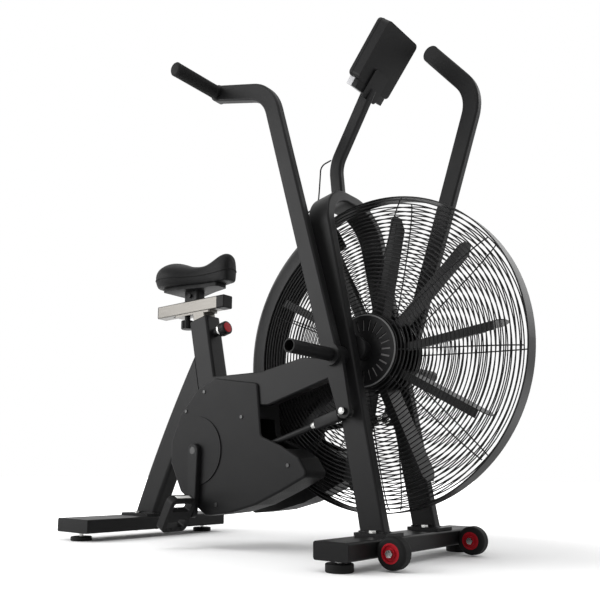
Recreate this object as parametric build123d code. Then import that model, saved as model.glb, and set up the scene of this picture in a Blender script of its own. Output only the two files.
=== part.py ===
from build123d import *
import math
import os

# Air exercise bike. Millimetres, +X forward, +Y to the rider's left, +Z up, floor at Z = 0.
# The origin lies on the floor under the middle of the bike.

# Fits
FIT = 0.05              # gap of a sliding or turning fit
ROOM = 0.4              # gap between moving faces that never touch

# Floor bars
BAR_Z = 25.0            # underside of the bars above the floor
BAR_HEIGHT = 40.0
BAR_WALL = 2.5
BAR_ROUND = 6.0
FRONT_BAR_X = 353.0
FRONT_BAR_DEPTH = 90.0
FRONT_BAR_LENGTH = 614.0
REAR_BAR_X = -606.0
REAR_BAR_DEPTH = 148.0
REAR_BAR_LENGTH = 556.0
CAP_FLANGE = 4.0
CAP_PLUG = 20.0

# Levelling feet
PAD_R = 30.5
FRONT_PAD_HEIGHT = 19.0
REAR_PAD_HEIGHT = 13.0
FOOT_INSET = 33.0       # foot centre in from the bar's end
STUD_R = 6.0
STUD_RISE = 15.0        # stud inside the bar
FOOT_NUT_R = 11.0
FOOT_NUT_HEIGHT = 4.0

# Base plates and their bolts
PLATE = 8.0
PLATE_SIDE = 26.0       # bolt centre out from the leg's middle
PLATE_EDGE = 12.0
BOLT_R = 5.0
BOLT_HEAD_R = 9.0
BOLT_HEAD = 6.0
DOME_NUT = 9.0

# Transport wheels
WHEEL_R = 36.0
WHEEL_WIDTH = 34.0
WHEEL_Y = 192.0
WHEEL_LIFT = 3.0        # tread above the floor while the bike stands
WHEEL_HUB_R = 22.0
WHEEL_GAP = 1.5
BRACKET = 6.0
BRACKET_R = 18.0

# Front fork
FORK_LEAN = 11.6
FORK_FOOT_X = 343.5
LEG_DEPTH = 65.0
LEG_THICK = 30.0
LEG_WALL = 3.0
LEG_ROUND = 5.0
LEG_Y = 120.0
ARCH_R = 98.0
ARCH_GAP = 5.0          # arch underside above the cage

# Fan cage
FAN_X = 276.0
FAN_Z = 508.0
RIM_R = 402.0
RIM_WALL = 3.0
RIM_WIDTH = 40.0
WIRE = 3.2
DOME_Y = 60.0           # hub ring out from the middle plane
HUB_RING_R = 84.0
RINGS = 14
SPOKES = 9
HUB_COVER = 4.0
HUB_COVER_R = 90.0
SLOT_COUNT = 24
SLOT_WIDTH = 4.4

# Wind guard round the rear of the cage
WIND_FROM = 112.0       # upper end, as an angle above the front
WIND_TO = 225.0         # lower end
WIND_SHEET = 2.0
WIND_GAP = 1.0
WIND_DROPS = (2.5, 9.0, 18.0, 30.0, 44.0, 57.0)   # steps of its side, in from the hoop

# Fan
AXLE_R = 10.0
LUG = 10.0
LUG_R = 32.0
BLADES = 10
BLADE_ROOT_R = 26.0
BLADE_TIP_R = 352.0
BLADE_WIDTH = 68.0
BLADE_SHEET = 2.0
BLADE_CUT = 24.0        # corner taken off the tip
BLADE_FOLD = 20.0
BLADE_FOLD_LIFT = 10.0
BLADE_LIP = 9.0
BLADE_PHASE = 11.0      # turn of the fan as it stands
FAN_DISC_R = 100.0
FAN_DISC = 3.0
FAN_SLEEVE_R = 18.0

# Drive
CRANK_X = -230.0
CRANK_Z = 264.0
CRANK_LENGTH = 170.0
CRANK_ARM = 14.0
CRANK_EYE_R = 20.0
PEDAL_EYE_R = 14.0
CRANK_SHELL_R = 26.0
CRANK_SHELL_Y = 56.0
BEARING_R = 21.0
BEARING = 14.0
FAN_PULLEY_R = 24.0
DRIVE_RATIO = 4.0
BELT_Y = 74.0
BELT_WIDTH = 9.0
BELT_THICK = 4.0
BELT_GAP = 0.3
PULLEY_FLANGE = 1.2
PULLEY_LIP = 3.0

# Pedals
SPINDLE_R = 7.5
PEDAL_LENGTH = 100.0
PEDAL_WIDTH = 88.0
PEDAL_HEIGHT = 24.0
PEDAL_BAR = 14.0
PEDAL_GAP = 6.0
PEDAL_TILT = -62.0

# Drive covers
COVER_IN = 62.0
COVER_OUT = 142.0
COVER_WALL = 3.0
COVER_ROUND = 6.0
COVER_DISC_R = 95.0
COVER_DISC = 3.0
COVER_BACK = 2.0
SCREW_R = 2.5
SCREW_HEAD_R = 5.5
SCREW_HEAD = 2.5
SCREW_LENGTH = 16.0
BOSS_R = 6.0

# Swing arms
ARM_PIVOT_X = 255.0
ARM_PIVOT_Z = 486.0
ARM_Y = 166.0
ARM_DEPTH = 46.0
ARM_THICK = 25.0
ARM_LOWER = 766.0
ARM_UPPER = 200.0
ARM_BEND = 57.0
ARM_BEND_R = 110.0
RIGHT_LEAN = -16.0
LEFT_LEAN = 17.5
BARREL_R = 27.0
BARREL = 28.0
PIN_R = 12.0
PIN_FLANGE_R = 25.0
PEG_R = 16.0
PEG_BORE_R = 13.0
PEG_END = 330.0
LEVER_LENGTH = 140.0
LEVER_KICK = -2.0
LEVER = 12.0
LEVER_R = 17.0
HANDLE_R = 14.0
GRIP_R = 19.0
GRIP_START = 186.0
GRIP_END = 338.0
GRIP_CAP = 3.0

# Connecting rods
ROD_R = 8.0
ROD_EYE_R = 13.0
ROD_EYE = 14.0
ROD_SINK = 3.0          # how far the bar runs into each eye
ROD_BOLT_R = 6.0
ROD_FRONT_Y = 150.0
ROD_REAR_Y = 97.0
THROW_ANGLE = -40.0
THROW = 6.0

# Rear frame
REAR_LEG_DEPTH = 86.0
REAR_LEG_THICK = 56.0
REAR_LEG_ROUND = 12.0
REAR_LEG_FOOT = (-605.0, 33.0)
REAR_LEG_MID = (-486.0, 284.0)
REAR_LEG_HEAD = (-338.0, 545.0)
SEAT_LEAN = 12.3
SEAT_TOP_X = -361.0
SEAT_TOP_Z = 672.0
SEAT_TUBE_DEPTH = 76.0
SEAT_TUBE_THICK = 62.0
SEAT_TUBE_WALL = 4.0
SEAT_TUBE_ROUND = 9.0
SEAT_TUBE_LENGTH = 282.0
BEAM_TOP = 470.0
BEAM_HEIGHT = 60.0
BEAM_THICK = 60.0
YOKE_X = -186.0
YOKE_DEPTH = 50.0
YOKE_HEIGHT = 40.0
STRUT_DEPTH = 46.0
STRUT_THICK = 40.0

# Seat
POST = 50.0
POST_WALL = 3.0
POST_ROUND = 4.0
POST_DOWN = 230.0
SLEEVE_LENGTH = 95.0
SLEEVE_COLLAR = 3.0
HOLE_PITCH = 25.0
HOLE_COUNT = 6
PIN_DROP = 51.0         # pull-pin below the tube's top, along the tube
PULL_PIN_R = 6.0
PULL_BOSS_R = 13.0
PULL_BOSS = 22.0
KNOB_R = 21.0
KNOB = 30.0
KNOB_GAP = 2.0
CRADLE = 6.0
CRADLE_Z = 702.0
CRADLE_REAR_X = -482.0
CRADLE_FRONT_X = -322.0
RAIL = 40.0
RAIL_WALL = 3.0
RAIL_REAR_X = -560.0
RAIL_FRONT_X = -292.0
RAIL_CAP = 30.0
SLIDE_REACH = 60.0
CLAMP_X = -440.0
CLAMP_SCREW_R = 4.0
CLAMP_KNOB_R = 20.0
CLAMP_KNOB = 28.0
CLAMP_STEM = 12.0
SADDLE_BASE_Z = 772.0
SADDLE_BASE = 12.0
SADDLE_BASE_EDGE = ((-492.0, 62.0), (-430.0, 58.0), (-350.0, 34.0), (-290.0, 22.0))
SADDLE_CLAMP_X = -410.0
SADDLE_CLAMP_LENGTH = 62.0
SADDLE_CLAMP_WIDTH = 36.0

# Saddle sections from rear to nose: place, half width, crown height, shoulder drop
SADDLE_STATIONS = (
    (-521.0, 62.0, 858.0, 22.0),
    (-508.0, 86.0, 873.0, 26.0),
    (-470.0, 100.0, 878.0, 26.0),
    (-420.0, 86.0, 860.0, 18.0),
    (-370.0, 60.0, 849.0, 14.0),
    (-315.0, 42.0, 858.0, 13.0),
    (-270.0, 34.0, 877.0, 14.0),
    (-250.0, 27.0, 872.0, 13.0),
    (-243.0, 18.0, 858.0, 9.0),
)
SADDLE_DRAW = 0.86      # width of the saddle's foot against its widest line

# Console and its post
POST_DEPTH = 36.0
POST_THICK = 22.0
POST_FOOT_X = 158.0
POST_BEND = (144.0, 1045.0)
POST_BEND_R = 90.0
CONSOLE_X = 281.0
CONSOLE_Z = 1317.0
CONSOLE_LEAN = 39.0
CONSOLE_WIDTH = 145.0
CONSOLE_HEIGHT = 158.0
CONSOLE_DEPTH = 42.0
CONSOLE_ROUND = 12.0
CONSOLE_EDGE = 5.0
SCREEN_WIDTH = 112.0
SCREEN_HEIGHT = 92.0
SCREEN_UP = 18.0
SCREEN = 3.0
SCREEN_SINK = 0.6
KEY_R = 9.0
KEY_X = 28.0
KEY_UP = -58.0
KEY_SIDE_GAP = 0.3
KEY_PROUD = 1.5
KEY_DEEP = 4.0
KEY_WELL = 6.0
BACK_PLATE = 5.0
BACK_PLATE_WIDTH = 62.0
BACK_PLATE_HEIGHT = 76.0

# Sensor cable, held between the post and the fork
CABLE_R = 2.0
CABLE_LOOP = 52.0       # how far the cable stands off behind the fork

# Values worked out from the sizes above
BAR_TOP = BAR_Z + BAR_HEIGHT
FORK_FOOT_Z = BAR_TOP + PLATE
LEAN_SIN = math.sin(math.radians(FORK_LEAN))
LEAN_COS = math.cos(math.radians(FORK_LEAN))
LEG_OUT = LEG_Y + LEG_THICK / 2
LEG_IN = LEG_Y - LEG_THICK / 2
ARCH_RISE = (FAN_Z + RIM_R + ARCH_GAP - FORK_FOOT_Z) / LEAN_COS + LEG_THICK / 2
LEG_RISE = ARCH_RISE - ARCH_R - 4.0
CRANK_PULLEY_R = FAN_PULLEY_R * DRIVE_RATIO
COVER_FACE = COVER_OUT + COVER_DISC
CRANK_IN = COVER_FACE + 1.0
CRANK_OUT = CRANK_IN + CRANK_ARM
PEDAL_IN = CRANK_OUT + PEDAL_GAP
PEDAL_OUT = PEDAL_IN + PEDAL_WIDTH
BARREL_IN = ARM_Y - BARREL / 2
BARREL_OUT = ARM_Y + BARREL / 2
THROW_OUT = ROD_REAR_Y - ROD_EYE / 2 - 2.0
DOME_FACE = DOME_Y + WIRE / 2
RAIL_Z = CRADLE_Z + FIT
RAIL_TOP = RAIL_Z + RAIL
SADDLE_Z = SADDLE_BASE_Z + SADDLE_BASE
WHEEL_X = FRONT_BAR_X + FRONT_BAR_DEPTH / 2 + WHEEL_R + WHEEL_GAP * 2
WHEEL_Z = WHEEL_R + WHEEL_LIFT

FORK = Plane((FORK_FOOT_X, 0, FORK_FOOT_Z), x_dir=(0, 1, 0), z_dir=(LEAN_COS, 0, LEAN_SIN))
SEAT_SIN = math.sin(math.radians(SEAT_LEAN))
SEAT_COS = math.cos(math.radians(SEAT_LEAN))
SEAT = Plane((SEAT_TOP_X, 0, SEAT_TOP_Z), x_dir=(SEAT_COS, 0, SEAT_SIN), z_dir=(-SEAT_SIN, 0, SEAT_COS))
FACE_SIN = math.sin(math.radians(CONSOLE_LEAN))
FACE_COS = math.cos(math.radians(CONSOLE_LEAN))
FACE = Plane((CONSOLE_X, 0, CONSOLE_Z), x_dir=(0, -1, 0), z_dir=(-FACE_COS, 0, FACE_SIN))


# Helpers
def box(x0, x1, y0, y1, z0, z1):
    """A block between two corners."""
    return Pos((x0 + x1) / 2, (y0 + y1) / 2, (z0 + z1) / 2) * Box(x1 - x0, y1 - y0, z1 - z0)


def rod_y(radius, y0, y1, x, z):
    """A round bar along Y."""
    return Pos(x, (y0 + y1) / 2, z) * Rot(90, 0, 0) * Cylinder(radius, abs(y1 - y0))


def rod_z(radius, z0, z1, x, y):
    """A round bar along Z."""
    return Pos(x, y, (z0 + z1) / 2) * Cylinder(radius, z1 - z0)


def side_plate(sketch, y0, y1):
    """A sketch of X and Z made into a plate between two planes of Y."""
    return extrude(Plane.XZ.offset(-y1) * sketch, y1 - y0)


def outline(points, radius=0.0):
    """A closed outline, its corners rounded when a radius is given."""
    face = make_face(Polyline(*points, close=True))
    return fillet(face.vertices(), radius) if radius else face


def stadium(x0, z0, r0, x1, z1, r1):
    """The outline round two circles."""
    circles = Pos(x0, z0) * Circle(r0) + Pos(x1, z1) * Circle(r1)
    return make_hull(circles.edges())


def hollow(width, height, wall, corner):
    """The section of a rectangular tube."""
    inner = max(corner - wall, 1.0)
    outside = RectangleRounded(width, height, corner)
    return outside - RectangleRounded(width - 2 * wall, height - 2 * wall, inner)


def other_side(shape):
    """The same piece on the other side of the bike."""
    return mirror(shape, about=Plane.XZ)


def leg_x(z):
    """Middle of the fork legs at a height."""
    return FORK_FOOT_X - (z - FORK_FOOT_Z) * math.tan(math.radians(FORK_LEAN))


def at_crank(radius, degrees):
    """A point round the crank axle."""
    turn = math.radians(degrees)
    return CRANK_X + radius * math.cos(turn), CRANK_Z + radius * math.sin(turn)


def lever_end(lean):
    """The rod bolt of an arm that leans by some degrees."""
    turn = math.radians(LEVER_KICK - lean)
    return ARM_PIVOT_X + LEVER_LENGTH * math.sin(turn), ARM_PIVOT_Z - LEVER_LENGTH * math.cos(turn)


def throw_radius():
    """The throw that suits both arms at rest with rods of one length."""
    right_x, right_z = (a - b for a, b in zip(lever_end(RIGHT_LEAN), (CRANK_X, CRANK_Z)))
    left_x, left_z = (a - b for a, b in zip(lever_end(LEFT_LEAN), (CRANK_X, CRANK_Z)))
    turn = math.radians(THROW_ANGLE)
    along = math.cos(turn) * (right_x + left_x) + math.sin(turn) * (right_z + left_z)
    return (right_x ** 2 + right_z ** 2 - left_x ** 2 - left_z ** 2) / (2 * along)


THROW_RADIUS = throw_radius()


# Floor bars, caps, feet, bolts and wheels
def bolt_places():
    """Base bolts of the fork legs and of the rear leg."""
    front = [(FRONT_BAR_X, side * LEG_Y + step) for side in (-1, 1) for step in (-PLATE_SIDE, PLATE_SIDE)]
    rear_side = REAR_LEG_THICK / 2 + PLATE_EDGE
    return front + [(REAR_BAR_X, -rear_side), (REAR_BAR_X, rear_side)]


def foot_places():
    """Foot name, place and pad height."""
    front = FRONT_BAR_LENGTH / 2 - FOOT_INSET
    rear = REAR_BAR_LENGTH / 2 - FOOT_INSET
    return {
        "foot_front_right": (FRONT_BAR_X, -front, FRONT_PAD_HEIGHT),
        "foot_front_left": (FRONT_BAR_X, front, FRONT_PAD_HEIGHT),
        "foot_rear_right": (REAR_BAR_X, -rear, REAR_PAD_HEIGHT),
        "foot_rear_left": (REAR_BAR_X, rear, REAR_PAD_HEIGHT),
    }


def floor_bar(x, depth, length):
    """A floor bar with holes for its bolts and studs."""
    steel = length - 2 * CAP_FLANGE
    section = Plane.XZ.offset(-steel / 2) * Pos(x, BAR_Z + BAR_HEIGHT / 2)
    bar = extrude(section * hollow(depth, BAR_HEIGHT, BAR_WALL, BAR_ROUND), steel)
    for hole_x, hole_y in bolt_places():
        bar -= rod_z(BOLT_R + FIT, BAR_Z - 1, BAR_TOP + 1, hole_x, hole_y)
    for foot_x, foot_y, height in foot_places().values():
        bar -= rod_z(STUD_R + FIT, BAR_Z - 1, BAR_Z + STUD_RISE, foot_x, foot_y)
    return bar


def end_cap(x, depth, length, side):
    """A plastic plug with a flange over the bar's end."""
    face = Plane.XZ.offset(side * (length / 2 - CAP_FLANGE)) * Pos(x, BAR_Z + BAR_HEIGHT / 2)
    flange = extrude(face * RectangleRounded(depth, BAR_HEIGHT, BAR_ROUND), side * CAP_FLANGE)
    inner = 2 * BAR_WALL
    ring = hollow(depth - inner, BAR_HEIGHT - inner, BAR_WALL, BAR_ROUND - BAR_WALL)
    plug = extrude(face * ring, -side * CAP_PLUG)
    return flange + plug


def foot(x, y, height):
    """A round pad moulded on a stud with its nut."""
    pad = rod_z(PAD_R, 0, height, x, y)
    pad = fillet(pad.edges().filter_by(GeomType.CIRCLE), 3.0)
    stud = rod_z(STUD_R, height - 1, BAR_Z + STUD_RISE, x, y)
    nut_z = BAR_Z - ROOM - FOOT_NUT_HEIGHT
    nut = extrude(Pos(x, y, nut_z) * RegularPolygon(FOOT_NUT_R, 6), FOOT_NUT_HEIGHT)
    return pad + stud + nut


def base_bolt(x, y):
    """A hexagon bolt through plate and bar, with a domed nut below."""
    top = BAR_TOP + PLATE
    head = extrude(Pos(x, y, top) * RegularPolygon(BOLT_HEAD_R, 6), BOLT_HEAD)
    shank = rod_z(BOLT_R, BAR_Z - DOME_NUT / 2, top + 1, x, y)
    nut = extrude(Pos(x, y, BAR_Z - DOME_NUT / 2) * RegularPolygon(BOLT_HEAD_R, 6), DOME_NUT / 2)
    dome = Pos(x, y, BAR_Z - DOME_NUT / 2) * Sphere(BOLT_HEAD_R * 0.8, arc_size1=-90, arc_size2=0)
    return head + shank + nut + dome


def tyre(y):
    """A tyre with round shoulders."""
    ring = rod_y(WHEEL_R, y - WHEEL_WIDTH / 2, y + WHEEL_WIDTH / 2, WHEEL_X, WHEEL_Z)
    ring = fillet(ring.edges().filter_by(GeomType.CIRCLE), 8.0)
    return ring - rod_y(WHEEL_HUB_R, y - WHEEL_WIDTH, y + WHEEL_WIDTH, WHEEL_X, WHEEL_Z)


def wheel_hub(y):
    """A hub with a dished outer face."""
    hub = rod_y(WHEEL_HUB_R, y - WHEEL_WIDTH / 2, y + WHEEL_WIDTH / 2, WHEEL_X, WHEEL_Z)
    near = y - WHEEL_WIDTH / 2
    dish = rod_y(WHEEL_HUB_R - 4, near - 1, near + 4, WHEEL_X, WHEEL_Z)
    dish -= rod_y(BOLT_HEAD_R + 2, near - 2, near + 5, WHEEL_X, WHEEL_Z)
    return hub - dish - rod_y(BOLT_R + FIT, y - WHEEL_WIDTH, y + WHEEL_WIDTH, WHEEL_X, WHEEL_Z)


def wheel_bracket(y):
    """A plate on the front of the bar that carries one wheel's bolt."""
    bar_face = FRONT_BAR_X + FRONT_BAR_DEPTH / 2
    root = y + WHEEL_WIDTH / 2 + WHEEL_GAP
    shape = stadium(WHEEL_X, WHEEL_Z, BRACKET_R, bar_face + 2, WHEEL_Z + 6, BRACKET_R)
    plate = side_plate(shape, root, root + BRACKET)
    plate -= box(bar_face - 60, bar_face, root - 1, root + BRACKET + 1, 0, BAR_TOP + 40)
    return plate - rod_y(BOLT_R + FIT, root - 1, root + BRACKET + 1, WHEEL_X, WHEEL_Z)


def wheel_bolt(y):
    """The bolt that a wheel turns on."""
    near = y - WHEEL_WIDTH / 2 - ROOM
    far = y + WHEEL_WIDTH / 2 + WHEEL_GAP + BRACKET
    head = Rot(90, 0, 0) * extrude(RegularPolygon(BOLT_HEAD_R, 6), BOLT_HEAD)
    return Pos(WHEEL_X, near, WHEEL_Z) * head + rod_y(BOLT_R, near - 1, far, WHEEL_X, WHEEL_Z)


# Front fork
def fork_leg():
    """The right leg: a tube with its base plate and the lug for the fan axle."""
    section = Plane(FORK.origin, x_dir=(0, 1, 0), z_dir=(-LEAN_SIN, 0, LEAN_COS)).offset(-LEG_DEPTH)
    wall = hollow(LEG_THICK, LEG_DEPTH, LEG_WALL, LEG_ROUND)
    tube = extrude(section * Pos(-LEG_Y, 0) * wall, LEG_RISE + LEG_DEPTH)
    tube = split(tube, Plane.XY.offset(FORK_FOOT_Z), keep=Keep.TOP)
    reach = PLATE_SIDE + PLATE_EDGE
    half = FRONT_BAR_DEPTH / 2 - 2
    plate = box(
        FRONT_BAR_X - half, FRONT_BAR_X + half, -LEG_Y - reach, -LEG_Y + reach, BAR_TOP, FORK_FOOT_Z)
    for step in (-PLATE_SIDE, PLATE_SIDE):
        plate -= rod_z(BOLT_R + FIT, BAR_TOP - 1, FORK_FOOT_Z + 1, FRONT_BAR_X, -LEG_Y + step)
    lug = rod_y(LUG_R, -LEG_IN, -LEG_IN + LUG, FAN_X, FAN_Z)
    lug += side_plate(outline([
        (FAN_X, FAN_Z + LUG_R), (leg_x(FAN_Z + LUG_R) - 20, FAN_Z + LUG_R),
        (leg_x(FAN_Z - LUG_R) - 20, FAN_Z - LUG_R), (FAN_X, FAN_Z - LUG_R)]), -LEG_IN, -LEG_IN + LUG)
    lug -= rod_y(AXLE_R + FIT, -LEG_IN, -LEG_IN + LUG + 1, FAN_X, FAN_Z)
    return tube + plate + lug


def fork_arch():
    """The bent tube that joins both legs over the cage."""
    path = FilletPolyline(
        (-LEG_Y, LEG_RISE), (-LEG_Y, ARCH_RISE), (LEG_Y, ARCH_RISE), (LEG_Y, LEG_RISE), radius=ARCH_R)
    path = FORK * path
    section = Plane(path @ 0, x_dir=(0, 1, 0), z_dir=(-LEAN_SIN, 0, LEAN_COS))
    return sweep(section * hollow(LEG_THICK, LEG_DEPTH, LEG_WALL, LEG_ROUND), path=path)


# Rear frame
def rear_leg():
    """The curved tube from the rear bar to the seat tube, with its base plate."""
    path = Spline(*[(x, 0, z) for x, z in (REAR_LEG_FOOT, REAR_LEG_MID, REAR_LEG_HEAD)])
    section = Plane(path @ 0, x_dir=(0, 1, 0), z_dir=path % 0)
    outside = RectangleRounded(REAR_LEG_THICK, REAR_LEG_DEPTH, REAR_LEG_ROUND)
    inside = RectangleRounded(
        REAR_LEG_THICK - 2 * LEG_WALL, REAR_LEG_DEPTH - 2 * LEG_WALL, REAR_LEG_ROUND - LEG_WALL)
    tube = sweep(section * outside, path=path)
    tube = split(tube, Plane.XY.offset(FORK_FOOT_Z), keep=Keep.TOP)
    back = Plane(SEAT.origin, x_dir=(0, 1, 0), z_dir=(-SEAT_COS, 0, -SEAT_SIN))
    tube = split(tube, back.offset(SEAT_TUBE_DEPTH / 2), keep=Keep.TOP)
    tube -= sweep(section * inside, path=path)
    reach = REAR_LEG_THICK / 2 + 2 * PLATE_EDGE
    half = REAR_BAR_DEPTH / 2 - 10
    plate = box(REAR_BAR_X - half, REAR_BAR_X + half, -reach, reach, BAR_TOP, FORK_FOOT_Z)
    for bolt_x, bolt_y in bolt_places()[-2:]:
        plate -= rod_z(BOLT_R + FIT, BAR_TOP - 1, FORK_FOOT_Z + 1, bolt_x, bolt_y)
    return tube + plate


def seat_tube():
    """The outer tube of the seat post, with the boss of the pull-pin."""
    wall = hollow(SEAT_TUBE_DEPTH, SEAT_TUBE_THICK, SEAT_TUBE_WALL, SEAT_TUBE_ROUND)
    tube = extrude(SEAT.offset(-SEAT_TUBE_LENGTH) * wall, SEAT_TUBE_LENGTH)
    face = SEAT_TUBE_DEPTH / 2
    boss = Pos(face + PULL_BOSS / 2 - SEAT_TUBE_WALL / 2, 0, -PIN_DROP) * Rot(0, 90, 0)
    tube += SEAT.location * boss * Cylinder(PULL_BOSS_R, PULL_BOSS + SEAT_TUBE_WALL)
    bore = SEAT.location * boss * Cylinder(PULL_PIN_R + FIT, 3 * PULL_BOSS)
    inside = SEAT.offset(-SEAT_TUBE_LENGTH) * RectangleRounded(
        SEAT_TUBE_DEPTH - 2 * SEAT_TUBE_WALL, SEAT_TUBE_THICK - 2 * SEAT_TUBE_WALL,
        SEAT_TUBE_ROUND - SEAT_TUBE_WALL)
    return tube - bore - extrude(inside, SEAT_TUBE_LENGTH)


def seat_front(z):
    """Front face of the seat tube at a height."""
    middle = SEAT_TOP_X + (SEAT_TOP_Z - z) * math.tan(math.radians(SEAT_LEAN))
    return middle + SEAT_TUBE_DEPTH / 2 / SEAT_COS


def main_beam():
    """The centre beam and the yoke across its front end."""
    low = BEAM_TOP - BEAM_HEIGHT
    shape = outline([
        (seat_front(BEAM_TOP), BEAM_TOP), (YOKE_X + 1, BEAM_TOP), (YOKE_X + 1, low),
        (seat_front(low), low)])
    beam = side_plate(shape, -BEAM_THICK / 2, BEAM_THICK / 2)
    yoke = box(YOKE_X, YOKE_X + YOKE_DEPTH, -LEG_IN, LEG_IN, BEAM_TOP - YOKE_HEIGHT, BEAM_TOP)
    return beam + fillet(yoke.edges().filter_by(Axis.Y), 5.0)


def side_outline():
    """The side beam's shape, deepest in front of the drive cover."""
    def joint(z):
        return leg_x(z) - LEG_DEPTH / 2 / LEAN_COS
    upper = BEAM_TOP + 16
    lower = BEAM_TOP - 30
    return outline([
        (YOKE_X, BEAM_TOP - YOKE_HEIGHT), (YOKE_X, BEAM_TOP), (0, BEAM_TOP), (136, BEAM_TOP + 25),
        (joint(upper), upper), (joint(lower), lower), (24, BEAM_TOP - 90), (-40, BEAM_TOP - 88)])


def frame_room():
    """The space that the right cover leaves for the yoke and the side beam."""
    front = COVER_POINTS[5][0] + YOKE_DEPTH
    yoke = box(YOKE_X - ROOM, front, -LEG_IN - ROOM, 0, BEAM_TOP - YOKE_HEIGHT - ROOM, BEAM_TOP + ROOM)
    return yoke + side_plate(offset(side_outline(), ROOM), -LEG_OUT - ROOM, -LEG_IN + ROOM)


def side_beam():
    """The right side beam from the yoke to the fork leg."""
    beam = side_plate(side_outline(), -LEG_OUT, -LEG_IN)
    face = beam.faces().sort_by(Axis.Y)[0]
    return chamfer(face.edges(), 3.0)


def crank_housing():
    """The tube round the crank axle and the strut that hangs it from the beam."""
    shell = rod_y(CRANK_SHELL_R, -CRANK_SHELL_Y, CRANK_SHELL_Y, CRANK_X, CRANK_Z)
    strut = box(CRANK_X - STRUT_DEPTH / 2, CRANK_X + STRUT_DEPTH / 2, -STRUT_THICK / 2, STRUT_THICK / 2,
                CRANK_Z, BEAM_TOP - BEAM_HEIGHT)
    ears = rod_y(CRANK_SHELL_R + 10, -COVER_IN + COVER_BACK, -CRANK_SHELL_Y + 6, CRANK_X, CRANK_Z)
    ears += other_side(ears)
    bore = rod_y(BEARING_R - 4, -COVER_IN, COVER_IN, CRANK_X, CRANK_Z)
    seats = rod_y(BEARING_R, -COVER_IN, -CRANK_SHELL_Y + BEARING, CRANK_X, CRANK_Z)
    return shell + strut + ears - bore - seats - other_side(seats)


def crank_bearing():
    """The right bearing of the crank axle."""
    outer = -CRANK_SHELL_Y + BEARING
    ring = rod_y(BEARING_R, outer - BEARING, outer, CRANK_X, CRANK_Z)
    groove = rod_y(BEARING_R - 3, outer - BEARING - 1, outer - BEARING + 2, CRANK_X, CRANK_Z)
    groove -= rod_y(AXLE_R + 3, outer - BEARING - 2, outer - BEARING + 3, CRANK_X, CRANK_Z)
    return ring - groove - rod_y(AXLE_R + FIT, outer - BEARING - 1, outer + 1, CRANK_X, CRANK_Z)


# Drive covers
COVER_POINTS = [
    (-338.0, 230.0), (-338.0, 292.0), (-304.0, 368.0), (-236.0, 436.0), (-166.0, 464.0), (-8.0, 440.0),
    (8.0, 300.0), (75.0, 275.0), (133.0, 244.0), (164.0, 200.0), (76.0, 158.0), (-8.0, 122.0),
    (-97.0, 98.0), (-191.0, 86.0), (-295.0, 150.0)]
COVER_SCREWS = [(-62.0, 352.0), (100.0, 224.0), (-278.0, 376.0), (-150.0, 118.0), (-206.0, 428.0)]


def drive_cover():
    """The right cover: a shell with a raised disc round the crank and posts for its screws."""
    shape = outline(COVER_POINTS, 14.0)
    shell = side_plate(shape, -COVER_OUT, -COVER_IN)
    shell = fillet(shell.faces().sort_by(Axis.Y)[0].edges(), COVER_ROUND)
    shell -= side_plate(offset(shape, -COVER_WALL), -COVER_OUT + COVER_WALL, -COVER_IN)
    shell += rod_y(COVER_DISC_R, -COVER_FACE, -COVER_OUT, CRANK_X, CRANK_Z)
    for x, z in COVER_SCREWS:
        shell += rod_y(BOSS_R, -COVER_OUT + COVER_WALL - 1, -COVER_IN, x, z)
        shell -= rod_y(SCREW_R, -COVER_FACE, -COVER_OUT + SCREW_LENGTH, x, z)
    shell -= rod_y(AXLE_R + 2, -COVER_FACE - 1, -COVER_IN, CRANK_X, CRANK_Z)
    return shell - frame_room()


def rod_slot():
    """The opening in the front wall of the right cover for its connecting rod."""
    return box(-12, 92, -COVER_OUT + COVER_WALL, -COVER_IN - 20, 250, 346)


def belt_slot():
    """The opening in the front wall of the left cover for the belt."""
    return box(-30, 80, COVER_IN, COVER_OUT - COVER_WALL, 250, COVER_POINTS[5][1] + 12)


def cover_back():
    """The right back plate, which the cover's edge sits on."""
    plate = side_plate(outline(COVER_POINTS, 14.0), -COVER_IN, -COVER_IN + COVER_BACK) - frame_room()
    return plate - rod_y(AXLE_R + 2, -COVER_IN - 1, -COVER_IN + COVER_BACK + 1, CRANK_X, CRANK_Z)


def cover_screw(x, z):
    """A round-headed screw of the right cover."""
    head = rod_y(SCREW_HEAD_R, -COVER_OUT - SCREW_HEAD, -COVER_OUT, x, z)
    head = chamfer(head.edges().sort_by(Axis.Y)[0], 1.0)
    return head + rod_y(SCREW_R, -COVER_OUT, -COVER_OUT + SCREW_LENGTH, x, z)


# Crank, pulleys, belt and pedals
def crank_axle():
    """The crank axle with a throw for each connecting rod."""
    axle = rod_y(AXLE_R, -CRANK_OUT, CRANK_OUT, CRANK_X, CRANK_Z)
    for side, turn in ((-1, THROW_ANGLE), (1, THROW_ANGLE + 180)):
        pin_x, pin_z = at_crank(THROW_RADIUS, turn)
        y0, y1 = sorted((side * (THROW_OUT - THROW), side * THROW_OUT))
        axle += side_plate(stadium(CRANK_X, CRANK_Z, CRANK_EYE_R, pin_x, pin_z, PEDAL_EYE_R), y0, y1)
        axle += rod_y(ROD_BOLT_R, *sorted((side * THROW_OUT, side * (THROW_OUT + 1))), pin_x, pin_z)
    return axle


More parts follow.
